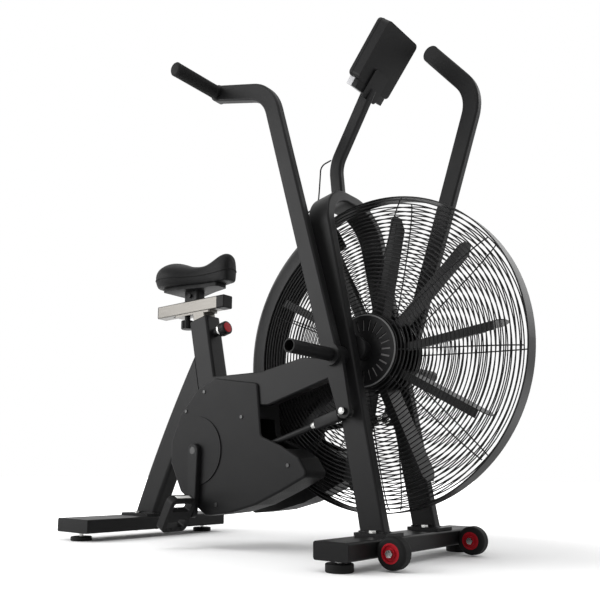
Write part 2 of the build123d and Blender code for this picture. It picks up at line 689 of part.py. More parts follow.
def crank_arm(side, turn):
    """A crank arm with its pedal spindle."""
    end_x, end_z = at_crank(CRANK_LENGTH, turn)
    y0, y1 = sorted((side * CRANK_IN, side * CRANK_OUT))
    arm = side_plate(stadium(CRANK_X, CRANK_Z, CRANK_EYE_R, end_x, end_z, PEDAL_EYE_R), y0, y1)
    arm = chamfer(arm.faces().sort_by(Axis.Y)[0 if side < 0 else -1].edges(), 2.0)
    arm -= rod_y(AXLE_R, -CRANK_OUT - 1, CRANK_OUT + 1, CRANK_X, CRANK_Z)
    return arm + rod_y(SPINDLE_R, *sorted((side * (CRANK_OUT - 1), side * (PEDAL_OUT - 8))), end_x, end_z)


def pulley(radius, bore, x, z):
    """A flat pulley with a lip on each side of the belt."""
    half = BELT_WIDTH / 2 + BELT_GAP
    wheel = rod_y(radius, BELT_Y - half, BELT_Y + half, x, z)
    for side in (-1, 1):
        edge = BELT_Y + side * half
        wheel += rod_y(radius + PULLEY_LIP, *sorted((edge, edge + side * PULLEY_FLANGE)), x, z)
    return wheel - rod_y(bore, BELT_Y - 3 * BELT_WIDTH, BELT_Y + 3 * BELT_WIDTH, x, z)


def crank_pulley():
    """The large pulley, with a ring of round openings."""
    wheel = pulley(CRANK_PULLEY_R, AXLE_R, CRANK_X, CRANK_Z)
    for step in range(6):
        hole_x, hole_z = at_crank(CRANK_PULLEY_R * 0.58, 60 * step)
        wheel -= rod_y(
            CRANK_PULLEY_R * 0.19, BELT_Y - 2 * BELT_WIDTH, BELT_Y + 2 * BELT_WIDTH, hole_x, hole_z)
    return wheel


def belt():
    """The belt round both pulleys."""
    inside = stadium(CRANK_X, CRANK_Z, CRANK_PULLEY_R + BELT_GAP, FAN_X, FAN_Z, FAN_PULLEY_R + BELT_GAP)
    outside = stadium(CRANK_X, CRANK_Z, CRANK_PULLEY_R + BELT_GAP + BELT_THICK,
                      FAN_X, FAN_Z, FAN_PULLEY_R + BELT_GAP + BELT_THICK)
    return side_plate(outside - inside, BELT_Y - BELT_WIDTH / 2, BELT_Y + BELT_WIDTH / 2)


def pedal(side, turn):
    """A platform pedal: a rounded frame, a barrel and a closed outer end."""
    axle_x, axle_z = at_crank(CRANK_LENGTH, turn)
    middle = side * (PEDAL_IN + PEDAL_OUT) / 2
    frame = extrude(RectangleRounded(PEDAL_LENGTH, PEDAL_WIDTH, 16.0), PEDAL_HEIGHT / 2, both=True)
    window = (PEDAL_LENGTH - 2 * PEDAL_BAR - PEDAL_HEIGHT) / 2
    opening = RectangleRounded(window, PEDAL_WIDTH - 2 * PEDAL_BAR, 5.0)
    for step in (-1, 1):
        place = Pos(step * (PEDAL_HEIGHT + window) / 2, 0)
        frame -= place * extrude(opening, PEDAL_HEIGHT, both=True)
    bore = Pos(0, -side * 8, 0) * Rot(90, 0, 0) * Cylinder(SPINDLE_R + FIT, PEDAL_WIDTH)
    return Pos(axle_x, middle, axle_z) * Rot(0, PEDAL_TILT, 0) * (frame - bore)


# Fan and cage
def fan_hub():
    """Sleeve, two side discs and the small pulley as one casting."""
    inner = BLADE_WIDTH / 2
    hub = rod_y(FAN_SLEEVE_R, -inner - FAN_DISC - 6, BELT_Y, FAN_X, FAN_Z)
    for side in (-1, 1):
        hub += rod_y(FAN_DISC_R, *sorted((side * inner, side * (inner + FAN_DISC))), FAN_X, FAN_Z)
    hub += pulley(FAN_PULLEY_R, 1.0, FAN_X, FAN_Z)
    return hub - rod_y(AXLE_R + FIT, -LEG_IN, LEG_IN, FAN_X, FAN_Z)


def fan_blade():
    """One folded sheet blade, standing up from the hub."""
    half = BLADE_WIDTH / 2
    paddle = make_face(Polyline(
        (-half, BLADE_ROOT_R), (half, BLADE_ROOT_R), (half, BLADE_TIP_R - BLADE_CUT),
        (half - BLADE_CUT, BLADE_TIP_R), (-half + BLADE_CUT / 2, BLADE_TIP_R),
        (-half, BLADE_TIP_R - BLADE_CUT / 2), close=True))
    sheet = extrude(Plane.YZ * paddle, BLADE_SHEET / 2, both=True)
    fold = box(
        BLADE_SHEET / 2, BLADE_FOLD, -half, -half + BLADE_SHEET, BLADE_ROOT_R + BLADE_FOLD_LIFT,
        BLADE_TIP_R - BLADE_CUT)
    lip = box(
        BLADE_FOLD - BLADE_SHEET, BLADE_FOLD, -half, -half + BLADE_LIP, FAN_DISC_R,
        BLADE_TIP_R - 2 * BLADE_CUT)
    return sheet + fold + lip


def dome(radius):
    """Distance of a guard's wire from the middle plane."""
    part = (radius - HUB_RING_R) / (RIM_R - WIRE / 2 - HUB_RING_R)
    foot = RIM_WIDTH / 2 + WIRE / 2
    return foot + (DOME_Y - foot) * math.sqrt(max(0.0, 1 - part ** 2))


def ring_radius(step):
    """Radius of one ring of a guard."""
    return HUB_RING_R + (RIM_R - WIRE / 2 - HUB_RING_R) * step / (RINGS - 1)


def fan_guard():
    """The right guard: rings joined by spokes that follow the dome."""
    outer = Plane.XZ
    rings = []
    for step in range(RINGS):
        radius = ring_radius(step)
        ring = Circle(radius + WIRE / 2) - Circle(radius - WIRE / 2)
        rings.append(extrude(outer.offset(dome(radius) - WIRE / 2) * ring, WIRE))
    inner = [(ring_radius(step), dome(ring_radius(step)) - WIRE / 2 + 0.4) for step in range(RINGS)]
    back = [(radius - 1.0, max(depth - WIRE, RIM_WIDTH / 2)) for radius, depth in reversed(inner)]
    profile = make_face(Polyline(*inner, *back, close=True))
    spoke = extrude(Plane((0, 0, 0), x_dir=(1, 0, 0), z_dir=(0, 0, 1)) * profile, WIRE / 2, both=True)
    spoke = mirror(spoke, about=Plane.XZ)
    spokes = [Rot(0, 360 / SPOKES * step, 0) * spoke for step in range(SPOKES)]
    return Pos(FAN_X, 0, FAN_Z) * rings[0].fuse(*rings[1:], *spokes)


def guard_rim():
    """The hoop between both guards, with the wind guard round its rear."""
    half = RIM_WIDTH / 2
    hoop = rod_y(RIM_R, -half, half, FAN_X, FAN_Z)
    hoop -= rod_y(RIM_R - RIM_WALL, -half - 1, half + 1, FAN_X, FAN_Z)
    shield = wind_guard()
    return hoop + shield + other_side(shield)


def wind_guard():
    """Half of the sheet that wraps the rear of the cage and keeps the draught off the rider."""
    inside = RIM_R + WIND_GAP
    outside = inside + WIND_SHEET
    corner = RIM_WIDTH / 2 + WIRE + WIND_GAP
    steps = [RIM_R - drop for drop in WIND_DROPS]
    skin = [(radius, dome(radius) + WIRE / 2 + WIND_GAP) for radius in steps]
    cover = [(radius, depth + WIND_SHEET) for radius, depth in reversed(skin[1:])]
    bend = (steps[0] + WIND_SHEET / 2, skin[0][1] + WIND_SHEET)
    profile = make_face(Polyline(
        (RIM_R - RIM_WALL / 2, 0), (RIM_R - RIM_WALL / 2, RIM_WIDTH / 2 - 1), (inside, RIM_WIDTH / 2 - 1),
        (inside, corner), *skin, *cover, bend, (outside, corner + WIND_SHEET), (outside, 0), close=True))
    sheet = revolve(profile, axis=Axis.Y, revolution_arc=WIND_TO - WIND_FROM)
    return Pos(FAN_X, 0, FAN_Z) * Rot(0, -WIND_TO, 0) * sheet


def hub_cover(hole):
    """A vented disc on the hub ring of the right guard."""
    disc = rod_y(HUB_COVER_R, -DOME_FACE - HUB_COVER, -DOME_FACE, FAN_X, FAN_Z)
    disc = fillet(disc.edges().sort_by(Axis.Y)[0], 2.0)
    slot = box(
        -SLOT_WIDTH / 2, SLOT_WIDTH / 2, -DOME_FACE - 2 * HUB_COVER, -DOME_FACE + 1,
        HUB_COVER_R * 0.56, HUB_COVER_R * 0.86)
    for step in range(SLOT_COUNT):
        disc -= Pos(FAN_X, 0, FAN_Z) * Rot(0, 360 / SLOT_COUNT * step, 0) * slot
    return disc - rod_y(hole, -DOME_FACE - 2 * HUB_COVER, -DOME_FACE + 1, FAN_X, FAN_Z)


def right_hub_cover():
    """The right cover, whose boss fills the gap to the axle lug."""
    boss = rod_y(AXLE_R + 14, -LEG_IN + LUG, -DOME_FACE - HUB_COVER + 1, FAN_X, FAN_Z)
    return hub_cover(AXLE_R) + boss - rod_y(AXLE_R, -LEG_IN, 0, FAN_X, FAN_Z)


def left_hub_cover():
    """The left cover, open round the pulley."""
    return other_side(hub_cover(FAN_SLEEVE_R + 6))


# Swing arms and connecting rods
def arm_shape():
    """The right arm standing upright with its pivot at the origin."""
    turn = math.radians(ARM_BEND)
    grip = (-ARM_UPPER * math.sin(turn), ARM_LOWER + ARM_UPPER * math.cos(turn))
    path = Plane.XZ * FilletPolyline((0, 0), (0, ARM_LOWER), grip, radius=ARM_BEND_R)
    arm = sweep(Plane.XY * RectangleRounded(ARM_DEPTH, ARM_THICK, 5.0), path=path)
    arm += rod_y(ARM_DEPTH / 2, -ARM_THICK / 2, ARM_THICK / 2, *grip)
    arm += rod_y(BARREL_R, -BARREL / 2, BARREL / 2, 0, 0)
    kick = math.radians(LEVER_KICK)
    bolt = (LEVER_LENGTH * math.sin(kick), -LEVER_LENGTH * math.cos(kick))
    inside = ARM_Y - ROD_FRONT_Y - ROD_EYE / 2 - 1
    arm += side_plate(stadium(0, 0, BARREL_R, *bolt, LEVER_R), inside - LEVER, inside)
    arm -= rod_y(PIN_R + FIT, -BARREL, BARREL, 0, 0)
    arm += rod_y(ROD_BOLT_R, inside - LEVER - 1, ARM_Y - LEG_OUT - 2.5, *bolt)
    arm += rod_y(BOLT_HEAD_R, inside - LEVER - BOLT_HEAD, inside - LEVER, *bolt)
    arm += rod_y(HANDLE_R, ARM_Y - GRIP_END + GRIP_CAP, 0, *grip)
    return arm


def grip_shape():
    """The right grip in the same place as the upright arm."""
    turn = math.radians(ARM_BEND)
    grip = (-ARM_UPPER * math.sin(turn), ARM_LOWER + ARM_UPPER * math.cos(turn))
    sleeve = rod_y(GRIP_R, ARM_Y - GRIP_END, ARM_Y - GRIP_START, *grip)
    sleeve = fillet(sleeve.edges().filter_by(GeomType.CIRCLE), 3.0)
    return sleeve - rod_y(HANDLE_R, ARM_Y - GRIP_END + GRIP_CAP, ARM_Y, *grip)


def hang(shape, side, lean):
    """An upright right-hand piece put on its pivot, on one side, leaning."""
    piece = shape if side < 0 else other_side(shape)
    return Pos(ARM_PIVOT_X, side * ARM_Y, ARM_PIVOT_Z) * Rot(0, lean, 0) * piece


def foot_peg():
    """The right pivot pin and the peg beyond the arm, on a flange against the fork leg."""
    peg = rod_y(PIN_FLANGE_R, -BARREL_IN + ROOM, -LEG_OUT, ARM_PIVOT_X, ARM_PIVOT_Z)
    peg += rod_y(PIN_R, -PEG_END + 60, -LEG_OUT, ARM_PIVOT_X, ARM_PIVOT_Z)
    peg += rod_y(PEG_R, -PEG_END, -BARREL_OUT - ROOM, ARM_PIVOT_X, ARM_PIVOT_Z)
    return peg - rod_y(PEG_BORE_R, -PEG_END - 1, -PEG_END + 90, ARM_PIVOT_X, ARM_PIVOT_Z)


def connecting_rod(side, lean, turn):
    """A rod with an eye at the lever and one at the throw."""
    front_x, front_z = lever_end(lean)
    rear_x, rear_z = at_crank(THROW_RADIUS, turn)
    front = Vector(front_x, side * ROD_FRONT_Y, front_z)
    rear = Vector(rear_x, side * ROD_REAR_Y, rear_z)
    along = (front - rear).normalized()
    length = (front - rear).length
    start = Plane(rear, z_dir=along).offset(ROD_EYE_R - ROD_SINK)
    bar = extrude(start * Circle(ROD_R), length - 2 * ROD_EYE_R + 2 * ROD_SINK)
    for eye, bore in ((front, ROD_BOLT_R + FIT), (rear, ROD_BOLT_R + ROOM)):
        bar += rod_y(ROD_EYE_R, eye.Y - ROD_EYE / 2, eye.Y + ROD_EYE / 2, eye.X, eye.Z)
        bar -= rod_y(bore, eye.Y - ROD_EYE, eye.Y + ROD_EYE, eye.X, eye.Z)
    return bar


# Seat
def seat_sleeve():
    """The plastic sleeve between seat tube and seat post."""
    outer = RectangleRounded(
        SEAT_TUBE_DEPTH - 2 * SEAT_TUBE_WALL, SEAT_TUBE_THICK - 2 * SEAT_TUBE_WALL,
        SEAT_TUBE_ROUND - SEAT_TUBE_WALL)
    collar = RectangleRounded(SEAT_TUBE_DEPTH, SEAT_TUBE_THICK, SEAT_TUBE_ROUND)
    sleeve = extrude(SEAT.offset(-SLEEVE_LENGTH) * outer, SLEEVE_LENGTH)
    sleeve += extrude(SEAT * collar, SLEEVE_COLLAR)
    bore = RectangleRounded(POST + 2 * FIT, POST + 2 * FIT, POST_ROUND)
    sleeve -= extrude(SEAT.offset(-SLEEVE_LENGTH - 1) * bore, SLEEVE_LENGTH + SLEEVE_COLLAR + 2)
    hole = SEAT.location * Pos(SEAT_TUBE_DEPTH / 2, 0, -PIN_DROP) * Rot(0, 90, 0)
    return sleeve - hole * Cylinder(PULL_PIN_R + ROOM, SEAT_TUBE_DEPTH)


def seat_post():
    """The square post with its row of holes and the cradle for the rail."""
    low = CRADLE_Z - CRADLE
    tube = extrude(SEAT.offset(-POST_DOWN) * hollow(POST, POST, POST_WALL, POST_ROUND), POST_DOWN + 60)
    tube = split(tube, Plane.XY.offset(low), keep=Keep.BOTTOM)
    for step in range(HOLE_COUNT):
        hole = SEAT.location * Pos(POST / 2, 0, -PIN_DROP - HOLE_PITCH * step) * Rot(0, 90, 0)
        tube -= hole * Cylinder(PULL_PIN_R + ROOM, POST / 2)
    cradle = box(CRADLE_REAR_X, CRADLE_FRONT_X, -RAIL / 2, RAIL / 2, low, CRADLE_Z)
    cradle = fillet(cradle.edges().filter_by(Axis.Z), 8.0)
    return tube + cradle - rod_z(CLAMP_SCREW_R + FIT, low - 1, CRADLE_Z + 1, CLAMP_X, 0)


def seat_rail():
    """The square rail that carries the saddle, slotted below for the clamp screw."""
    middle = Plane.YZ.offset(RAIL_REAR_X) * Pos(0, RAIL_Z + RAIL / 2)
    rail = extrude(middle * hollow(RAIL, RAIL, RAIL_WALL, POST_ROUND), RAIL_FRONT_X - RAIL_REAR_X)
    reach = SLIDE_REACH + CLAMP_SCREW_R + 1
    slot = CLAMP_SCREW_R + 1
    return rail - box(CLAMP_X - reach, CLAMP_X + reach, -slot, slot, RAIL_Z - 1, RAIL_Z + RAIL_WALL + 1)


def rail_cap(x, outward):
    """An end cap of the rail: a block outside and a plug inside."""
    face = Plane.YZ.offset(x) * Pos(0, RAIL_Z + RAIL / 2)
    inner = RAIL - 2 * RAIL_WALL
    block = extrude(face * RectangleRounded(RAIL, RAIL, POST_ROUND), outward)
    end = block.faces().sort_by(Axis.X)[-1 if outward > 0 else 0]
    block = fillet(end.edges(), 2.0)
    return block + extrude(face * RectangleRounded(inner, inner, 1.0), -math.copysign(14.0, outward))


def saddle_clamp():
    """The block between the rail and the saddle base, waisted for its side bolt."""
    x0 = SADDLE_CLAMP_X - SADDLE_CLAMP_LENGTH / 2
    x1 = SADDLE_CLAMP_X + SADDLE_CLAMP_LENGTH / 2
    half = SADDLE_CLAMP_WIDTH / 2
    block = box(x0, x1, -half, half, RAIL_TOP, SADDLE_BASE_Z)
    block = fillet(block.edges().filter_by(Axis.Z), 8.0)
    middle = (RAIL_TOP + SADDLE_BASE_Z) / 2
    return block + rod_y(7.0, -half - 7, half + 7, SADDLE_CLAMP_X, middle)


def saddle_base():
    """The stiff pan under the saddle."""
    right = [(x, -half) for x, half in SADDLE_BASE_EDGE]
    left = [(x, half) for x, half in reversed(SADDLE_BASE_EDGE)]
    pan = extrude(Pos(0, 0, SADDLE_BASE_Z) * outline(right + left), SADDLE_BASE)
    return fillet(pan.edges().filter_by(Axis.Z), 8.0)


def saddle_section(x, half, crown, drop):
    """One cross section: flat foot, drawn-in sides and a crowned top."""
    foot_half = half * SADDLE_DRAW
    shoulder = half * 0.8
    shoulder_z = crown - drop
    side_z = (SADDLE_Z + shoulder_z) / 2 + 6
    edges = [
        Line((x, -foot_half, SADDLE_Z), (x, foot_half, SADDLE_Z)),
        ThreePointArc((x, foot_half, SADDLE_Z), (x, half, side_z), (x, shoulder, shoulder_z)),
        ThreePointArc((x, shoulder, shoulder_z), (x, 0, crown), (x, -shoulder, shoulder_z)),
        ThreePointArc((x, -shoulder, shoulder_z), (x, -half, side_z), (x, -foot_half, SADDLE_Z))]
    return make_face(Wire(edges))


def saddle_pad():
    """The soft saddle: wide at the rear, dished in the middle, raised at the nose."""
    return loft([saddle_section(*station) for station in SADDLE_STATIONS])


def pull_pin():
    """The pull-pin and its knob; the tip stays just clear of the post."""
    start = POST / 2 + ROOM
    knob_x = SEAT_TUBE_DEPTH / 2 + PULL_BOSS + KNOB_GAP
    place = SEAT.location * Pos(0, 0, -PIN_DROP) * Rot(0, 90, 0)
    pin = Pos(0, 0, (start + knob_x + 1) / 2) * Cylinder(PULL_PIN_R, knob_x + 1 - start)
    knob = Pos(0, 0, knob_x + KNOB / 2) * Cylinder(KNOB_R, KNOB)
    knob = fillet(knob.edges().filter_by(GeomType.CIRCLE), 3.0)
    for step in range(10):
        groove = Rot(0, 0, 36 * step) * Pos(KNOB_R + 1.5, 0, knob_x + KNOB * 0.4)
        knob -= groove * Cylinder(3.0, KNOB * 0.6)
    return place * (pin + knob)


def clamp_knob():
    """The lobed knob under the cradle, with its screw and the round nut in the rail."""
    low = CRADLE_Z - CRADLE - ROOM
    screw = rod_z(CLAMP_SCREW_R, low - 2, RAIL_Z + RAIL_WALL + 8, CLAMP_X, 0)
    nut = rod_z(CLAMP_SCREW_R + 7, RAIL_Z + RAIL_WALL + 1, RAIL_Z + RAIL_WALL + 8, CLAMP_X, 0)
    stem = rod_z(9.0, low - CLAMP_STEM, low, CLAMP_X, 0)
    knob = rod_z(CLAMP_KNOB_R, low - CLAMP_STEM - CLAMP_KNOB, low - CLAMP_STEM, CLAMP_X, 0)
    knob = fillet(knob.edges().filter_by(GeomType.CIRCLE), 3.0)
    for step in range(5):
        turn = math.radians(72 * step)
        x = CLAMP_X + (CLAMP_KNOB_R + 4) * math.cos(turn)
        y = (CLAMP_KNOB_R + 4) * math.sin(turn)
        knob -= rod_z(7.0, low - CLAMP_STEM - CLAMP_KNOB - 1, low - CLAMP_STEM + 1, x, y)
    return screw + nut + stem + knob


# Console
def console_post():
    """The bent post from the arch to the console, with the plate behind the console."""
    up = Vector(FACE_SIN, 0, FACE_COS)
    back = FACE.origin - FACE.z_dir * (CONSOLE_DEPTH / 2 + 8)
    top = back - up * (CONSOLE_HEIGHT / 2 - 20)
    foot_z = FORK_FOOT_Z + (ARCH_RISE + LEG_THICK / 2) * LEAN_COS - 30
    path = Plane.XZ * FilletPolyline((POST_FOOT_X, foot_z), POST_BEND, (top.X, top.Z), radius=POST_BEND_R)
    section = Plane(path @ 0, x_dir=(0, 1, 0), z_dir=path % 0)
    post = sweep(section * RectangleRounded(POST_THICK, POST_DEPTH, 5.0), path=path)
    arch_top = FORK.offset(0).location * Pos(0, ARCH_RISE + LEG_THICK / 2, 0)
    seat = Plane(arch_top.position, x_dir=(0, 1, 0), z_dir=(-LEAN_SIN, 0, LEAN_COS))
    post = split(post, seat, keep=Keep.TOP)
    under = Plane(FACE.origin - up * (CONSOLE_HEIGHT / 2), x_dir=(0, 1, 0), z_dir=-up)
    post = split(post, under, keep=Keep.TOP)
    plate = Pos(0, -CONSOLE_HEIGHT / 2 + BACK_PLATE_HEIGHT / 2 - 30) * RectangleRounded(
        BACK_PLATE_WIDTH, BACK_PLATE_HEIGHT, 8.0)
    return post + extrude(FACE.offset(-CONSOLE_DEPTH - BACK_PLATE) * plate, BACK_PLATE)


def screen_shape():
    """Outline of the screen on the console's face."""
    return Pos(0, SCREEN_UP) * Rectangle(SCREEN_WIDTH, SCREEN_HEIGHT)


def console_housing():
    """The console body with the recess of its screen and the wells of its keys."""
    shape = RectangleRounded(CONSOLE_WIDTH, CONSOLE_HEIGHT, CONSOLE_ROUND)
    body = extrude(FACE.offset(-CONSOLE_DEPTH) * shape, CONSOLE_DEPTH)
    rims = body.faces().sort_by(Axis(FACE.origin, FACE.z_dir))
    body = fillet(rims[-1].edges(), CONSOLE_EDGE)
    body -= extrude(FACE.offset(-SCREEN) * screen_shape(), SCREEN + 1)
    for step in (-1, 1):
        well = Pos(step * KEY_X, KEY_UP) * Circle(KEY_R + KEY_SIDE_GAP)
        body -= extrude(FACE.offset(-KEY_WELL) * well, KEY_WELL + 1)
    return body


def console_screen():
    """The flat lens in the console's recess."""
    return extrude(FACE.offset(-SCREEN) * screen_shape(), SCREEN - SCREEN_SINK)


def console_key(side):
    """A round key that stands a little proud."""
    key = extrude(FACE.offset(-KEY_DEEP) * Pos(side * KEY_X, KEY_UP) * Circle(KEY_R), KEY_DEEP + KEY_PROUD)
    top = key.edges().sort_by(Axis(FACE.origin, FACE.z_dir))[-1]
    return fillet(top, 1.0)


def sensor_cable():
    """The thin lead from the post down to the fork, in one plane of bends at a time."""
    high = POST_BEND[1] + 20
    exit_x = POST_BEND[0] - POST_DEPTH / 2 + 4
    end_z = FORK_FOOT_Z + LEG_RISE * LEAN_COS + 40
    end_x = leg_x(end_z) - LEG_DEPTH / 2 / LEAN_COS - 4 * FIT
    points = [
        (exit_x, -4, high), (exit_x - 34, -6, high - 8), (exit_x - 36, -10, high - 84),
        (exit_x - 8, -52, high - 140),
        (end_x - CABLE_LOOP * LEAN_COS, -LEG_Y + 2, end_z - CABLE_LOOP * LEAN_SIN),
        (end_x, -LEG_Y + 2, end_z)]
    radii = corner_radii(points)
    print("cable bends:", [round(radius, 1) for radius in radii])
    path = FilletPolyline(*points, radius=radii)
    return sweep(Plane(path @ 0, z_dir=path % 0) * Circle(CABLE_R), path=path)


def corner_radii(points):
    """The roomiest bend at each inner point of a route."""
    radii = []
    for before, here, after in zip(points, points[1:], points[2:]):
        back = Vector(*before) - Vector(*here)
        ahead = Vector(*after) - Vector(*here)
        turn = math.radians(180 - back.get_angle(ahead))
        radii.append(0.45 * min(back.length, ahead.length) / math.tan(turn / 2))
    return radii


def pieces():
    """Every piece of the bike by name."""
    blade = fan_blade()
    leg = fork_leg()
    cover = drive_cover()
    arm = arm_shape()
    grip = grip_shape()
    peg = foot_peg()
    guard = fan_guard()
    screws = [cover_screw(x, z) for x, z in COVER_SCREWS]
    bars = ((FRONT_BAR_X, FRONT_BAR_DEPTH, FRONT_BAR_LENGTH), (REAR_BAR_X, REAR_BAR_DEPTH, REAR_BAR_LENGTH))
    turns = [BLADE_PHASE + 360 / BLADES * step for step in range(BLADES)]
    found = {
        "front_floor_bar": floor_bar(*bars[0]) + wheel_bracket(-WHEEL_Y) + wheel_bracket(WHEEL_Y),
        "rear_floor_bar": floor_bar(*bars[1]),
        "floor_bar_end_caps": [end_cap(*bar, side) for bar in bars for side in (-1, 1)],
        "frame_bolts": [base_bolt(x, y) for x, y in bolt_places()] + [
            wheel_bolt(-WHEEL_Y), wheel_bolt(WHEEL_Y)],
        "wheel_right": [tyre(-WHEEL_Y), wheel_hub(-WHEEL_Y)],
        "wheel_left": [tyre(WHEEL_Y), wheel_hub(WHEEL_Y)],
        "fork_leg_right": leg,
        "fork_leg_left": other_side(leg),
        "fork_arch": fork_arch(),
        "rear_leg": rear_leg(),
        "seat_tube": seat_tube(),
        "main_beam": main_beam(),
        "side_beam_right": side_beam(),
        "side_beam_left": other_side(side_beam()),
        "crank_housing": crank_housing(),
        "crank_bearings": [crank_bearing(), other_side(crank_bearing())],
        "drive_cover_right": cover - rod_slot(),
        "drive_cover_left": other_side(cover - rod_slot()) - belt_slot(),
        "drive_cover_backs": [cover_back(), other_side(cover_back())],
        "cover_screws": screws + [other_side(screw) for screw in screws],
        "crank_axle": crank_axle(),
        "crank_arm_right": crank_arm(-1, -90),
        "crank_arm_left": crank_arm(1, 90),
        "crank_pulley": crank_pulley(),
        "drive_belt": belt(),
        "pedal_right": pedal(-1, -90),
        "pedal_left": pedal(1, 90),
        "fan_axle": rod_y(AXLE_R, -LEG_IN, LEG_IN, FAN_X, FAN_Z),
        "fan_hub": fan_hub(),
        "fan_blades": [Pos(FAN_X, 0, FAN_Z) * Rot(0, turn, 0) * blade for turn in turns],
        "fan_guard_rim": guard_rim(),
        "fan_guard_right": guard,
        "fan_guard_left": other_side(guard),
        "hub_covers": [right_hub_cover(), left_hub_cover()],
        "arm_right": hang(arm, -1, RIGHT_LEAN),
        "arm_left": hang(arm, 1, LEFT_LEAN),
        "grip_right": hang(grip, -1, RIGHT_LEAN),
        "grip_left": hang(grip, 1, LEFT_LEAN),
        "foot_pegs": [peg, other_side(peg)],
        "connecting_rod_right": connecting_rod(-1, RIGHT_LEAN, THROW_ANGLE),
        "connecting_rod_left": connecting_rod(1, LEFT_LEAN, THROW_ANGLE + 180),
        "seat_sleeve": seat_sleeve(),
        "seat_post": seat_post(),
        "seat_rail": seat_rail(),
        "rail_end_caps": [rail_cap(RAIL_FRONT_X, RAIL_CAP), rail_cap(RAIL_REAR_X, -CAP_FLANGE)],
        "saddle_clamp": saddle_clamp(),
        "saddle_base": saddle_base(),
        "saddle_pad": saddle_pad(),
        "pull_pin": pull_pin(),
        "clamp_knob": clamp_knob(),
        "console_post": console_post(),
        "console_housing": console_housing(),
        "console_screen": console_screen(),
        "console_key_right": console_key(1),
        "console_key_left": console_key(-1),
        "sensor_cable": sensor_cable(),
    }
    for name, place in foot_places().items():
        found[name] = foot(*place)
    return found


os.makedirs("parts", exist_ok=True)
for name, shape in pieces().items():
    if isinstance(shape, list):
        shape = Compound(children=shape)
    export_step(shape, f"parts/{name}.step")
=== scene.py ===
"""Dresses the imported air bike: finishes, wire cage, saddle, grips, trim and a pale studio."""

import math

import bmesh
import bpy
from bpy.props import FloatProperty, FloatVectorProperty, IntProperty, PointerProperty
from mathutils import Matrix, Vector
from mathutils.bvhtree import BVHTree


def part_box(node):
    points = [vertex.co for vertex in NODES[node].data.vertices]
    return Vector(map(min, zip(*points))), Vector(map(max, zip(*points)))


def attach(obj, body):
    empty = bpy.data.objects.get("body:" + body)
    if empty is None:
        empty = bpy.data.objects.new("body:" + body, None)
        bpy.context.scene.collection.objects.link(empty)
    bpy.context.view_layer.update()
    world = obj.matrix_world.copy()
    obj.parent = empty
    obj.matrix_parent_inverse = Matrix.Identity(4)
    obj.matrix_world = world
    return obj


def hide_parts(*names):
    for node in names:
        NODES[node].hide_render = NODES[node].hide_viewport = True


bl_info = {
    "name": "Air Bike Dresser",
    "version": (1, 0, 0),
    "blender": (4, 5, 0),
    "location": "View3D > Sidebar > Air Bike",
    "description": "Gives a packed air bike its finishes, wire cage, saddle, trim and studio",
    "category": "Object",
}

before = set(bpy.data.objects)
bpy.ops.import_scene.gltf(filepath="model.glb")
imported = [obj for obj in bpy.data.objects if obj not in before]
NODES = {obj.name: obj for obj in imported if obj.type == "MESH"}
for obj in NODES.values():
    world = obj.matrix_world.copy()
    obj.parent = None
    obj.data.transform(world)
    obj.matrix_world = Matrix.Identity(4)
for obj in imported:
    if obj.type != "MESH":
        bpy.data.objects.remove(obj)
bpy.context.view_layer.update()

# Places taken from the construction, in metres
FAN = Vector((0.276, 0.0, 0.508))
RIM_R = 0.402
RIM_HALF = 0.020
HUB_RING_R = 0.084
DOME_Y = 0.060
COVER_FACE = 0.0616
LEG_Y = 0.120
PLATE_TOP = 0.073
FORK_FOOT_X = 0.3435
REAR_FOOT_X = -0.5865
WHEEL_HUB = (0.437, 0.039)
PEDAL_TILT = math.radians(-62.0)
SEAT_LEAN = math.radians(12.3)
SEAT_TOP = Vector((-0.361, 0.0, 0.672))
SEAT_OUT = Vector((math.cos(SEAT_LEAN), 0.0, math.sin(SEAT_LEAN)))
SEAT_UP = Vector((-math.sin(SEAT_LEAN), 0.0, math.cos(SEAT_LEAN)))
FACE_LEAN = math.radians(39.0)
FACE_MIDDLE = Vector((0.281, 0.0, 1.317))
FACE_UP = Vector((math.sin(FACE_LEAN), 0.0, math.cos(FACE_LEAN)))
FACE_OUT = Vector((-math.cos(FACE_LEAN), 0.0, math.sin(FACE_LEAN)))
ACROSS = Vector((0.0, 1.0, 0.0))
SADDLE_FOOT = 0.784

# Looks shared by several finishes
SHEEN = 0.11            # how much a coated face mirrors
METAL_SHEEN = 0.5
COAT_DEPTH = 0.0004     # height of a coat's grain
WHEEL_MASK_R = 0.0219   # the red part of a wheel
BARE_FRONT = 0.052      # bare ends of a rod
BARE_REAR = 0.030
PAD_TOPS = {"front_foot": 0.0191, "rear_foot": 0.0131}
SCREEN_HALF = (0.049, 0.036)
SCREEN_RISE = 0.018

# Welds, as half sizes along and across
FORK_WELD = (0.0332, 0.015)
REAR_WELD = (0.0475, 0.028)
BEAD_STEP = 0.0035

# Cage trim
SPOKE_PHASE = math.radians(-3.0)
SPOKE_STEPS = 60
SPOKE_DROP = 1.7        # spokes lie this many wire radii under the rings
RING_DENSITY = 320      # points of a ring per metre of radius
RING_LEAST = 48
# The grey disc under the vent slots of each hub cover is painted light: its colour stands in for the lit
# fins seen through the slots
VENT_LIGHT_RADII = (0.030, 0.081)
VENT_LIGHT_DROP = 0.0012     # under the face of the hub cover
VENT_LIGHT_THICK = 0.0008
# The grey hoop round each hub cover carries a painted highlight: its grey stands in for the light caught on
# the glossy black rim
HOOP_R = 0.0895
HOOP_OUT = 0.0018
HOOP_WIRE = 0.0024

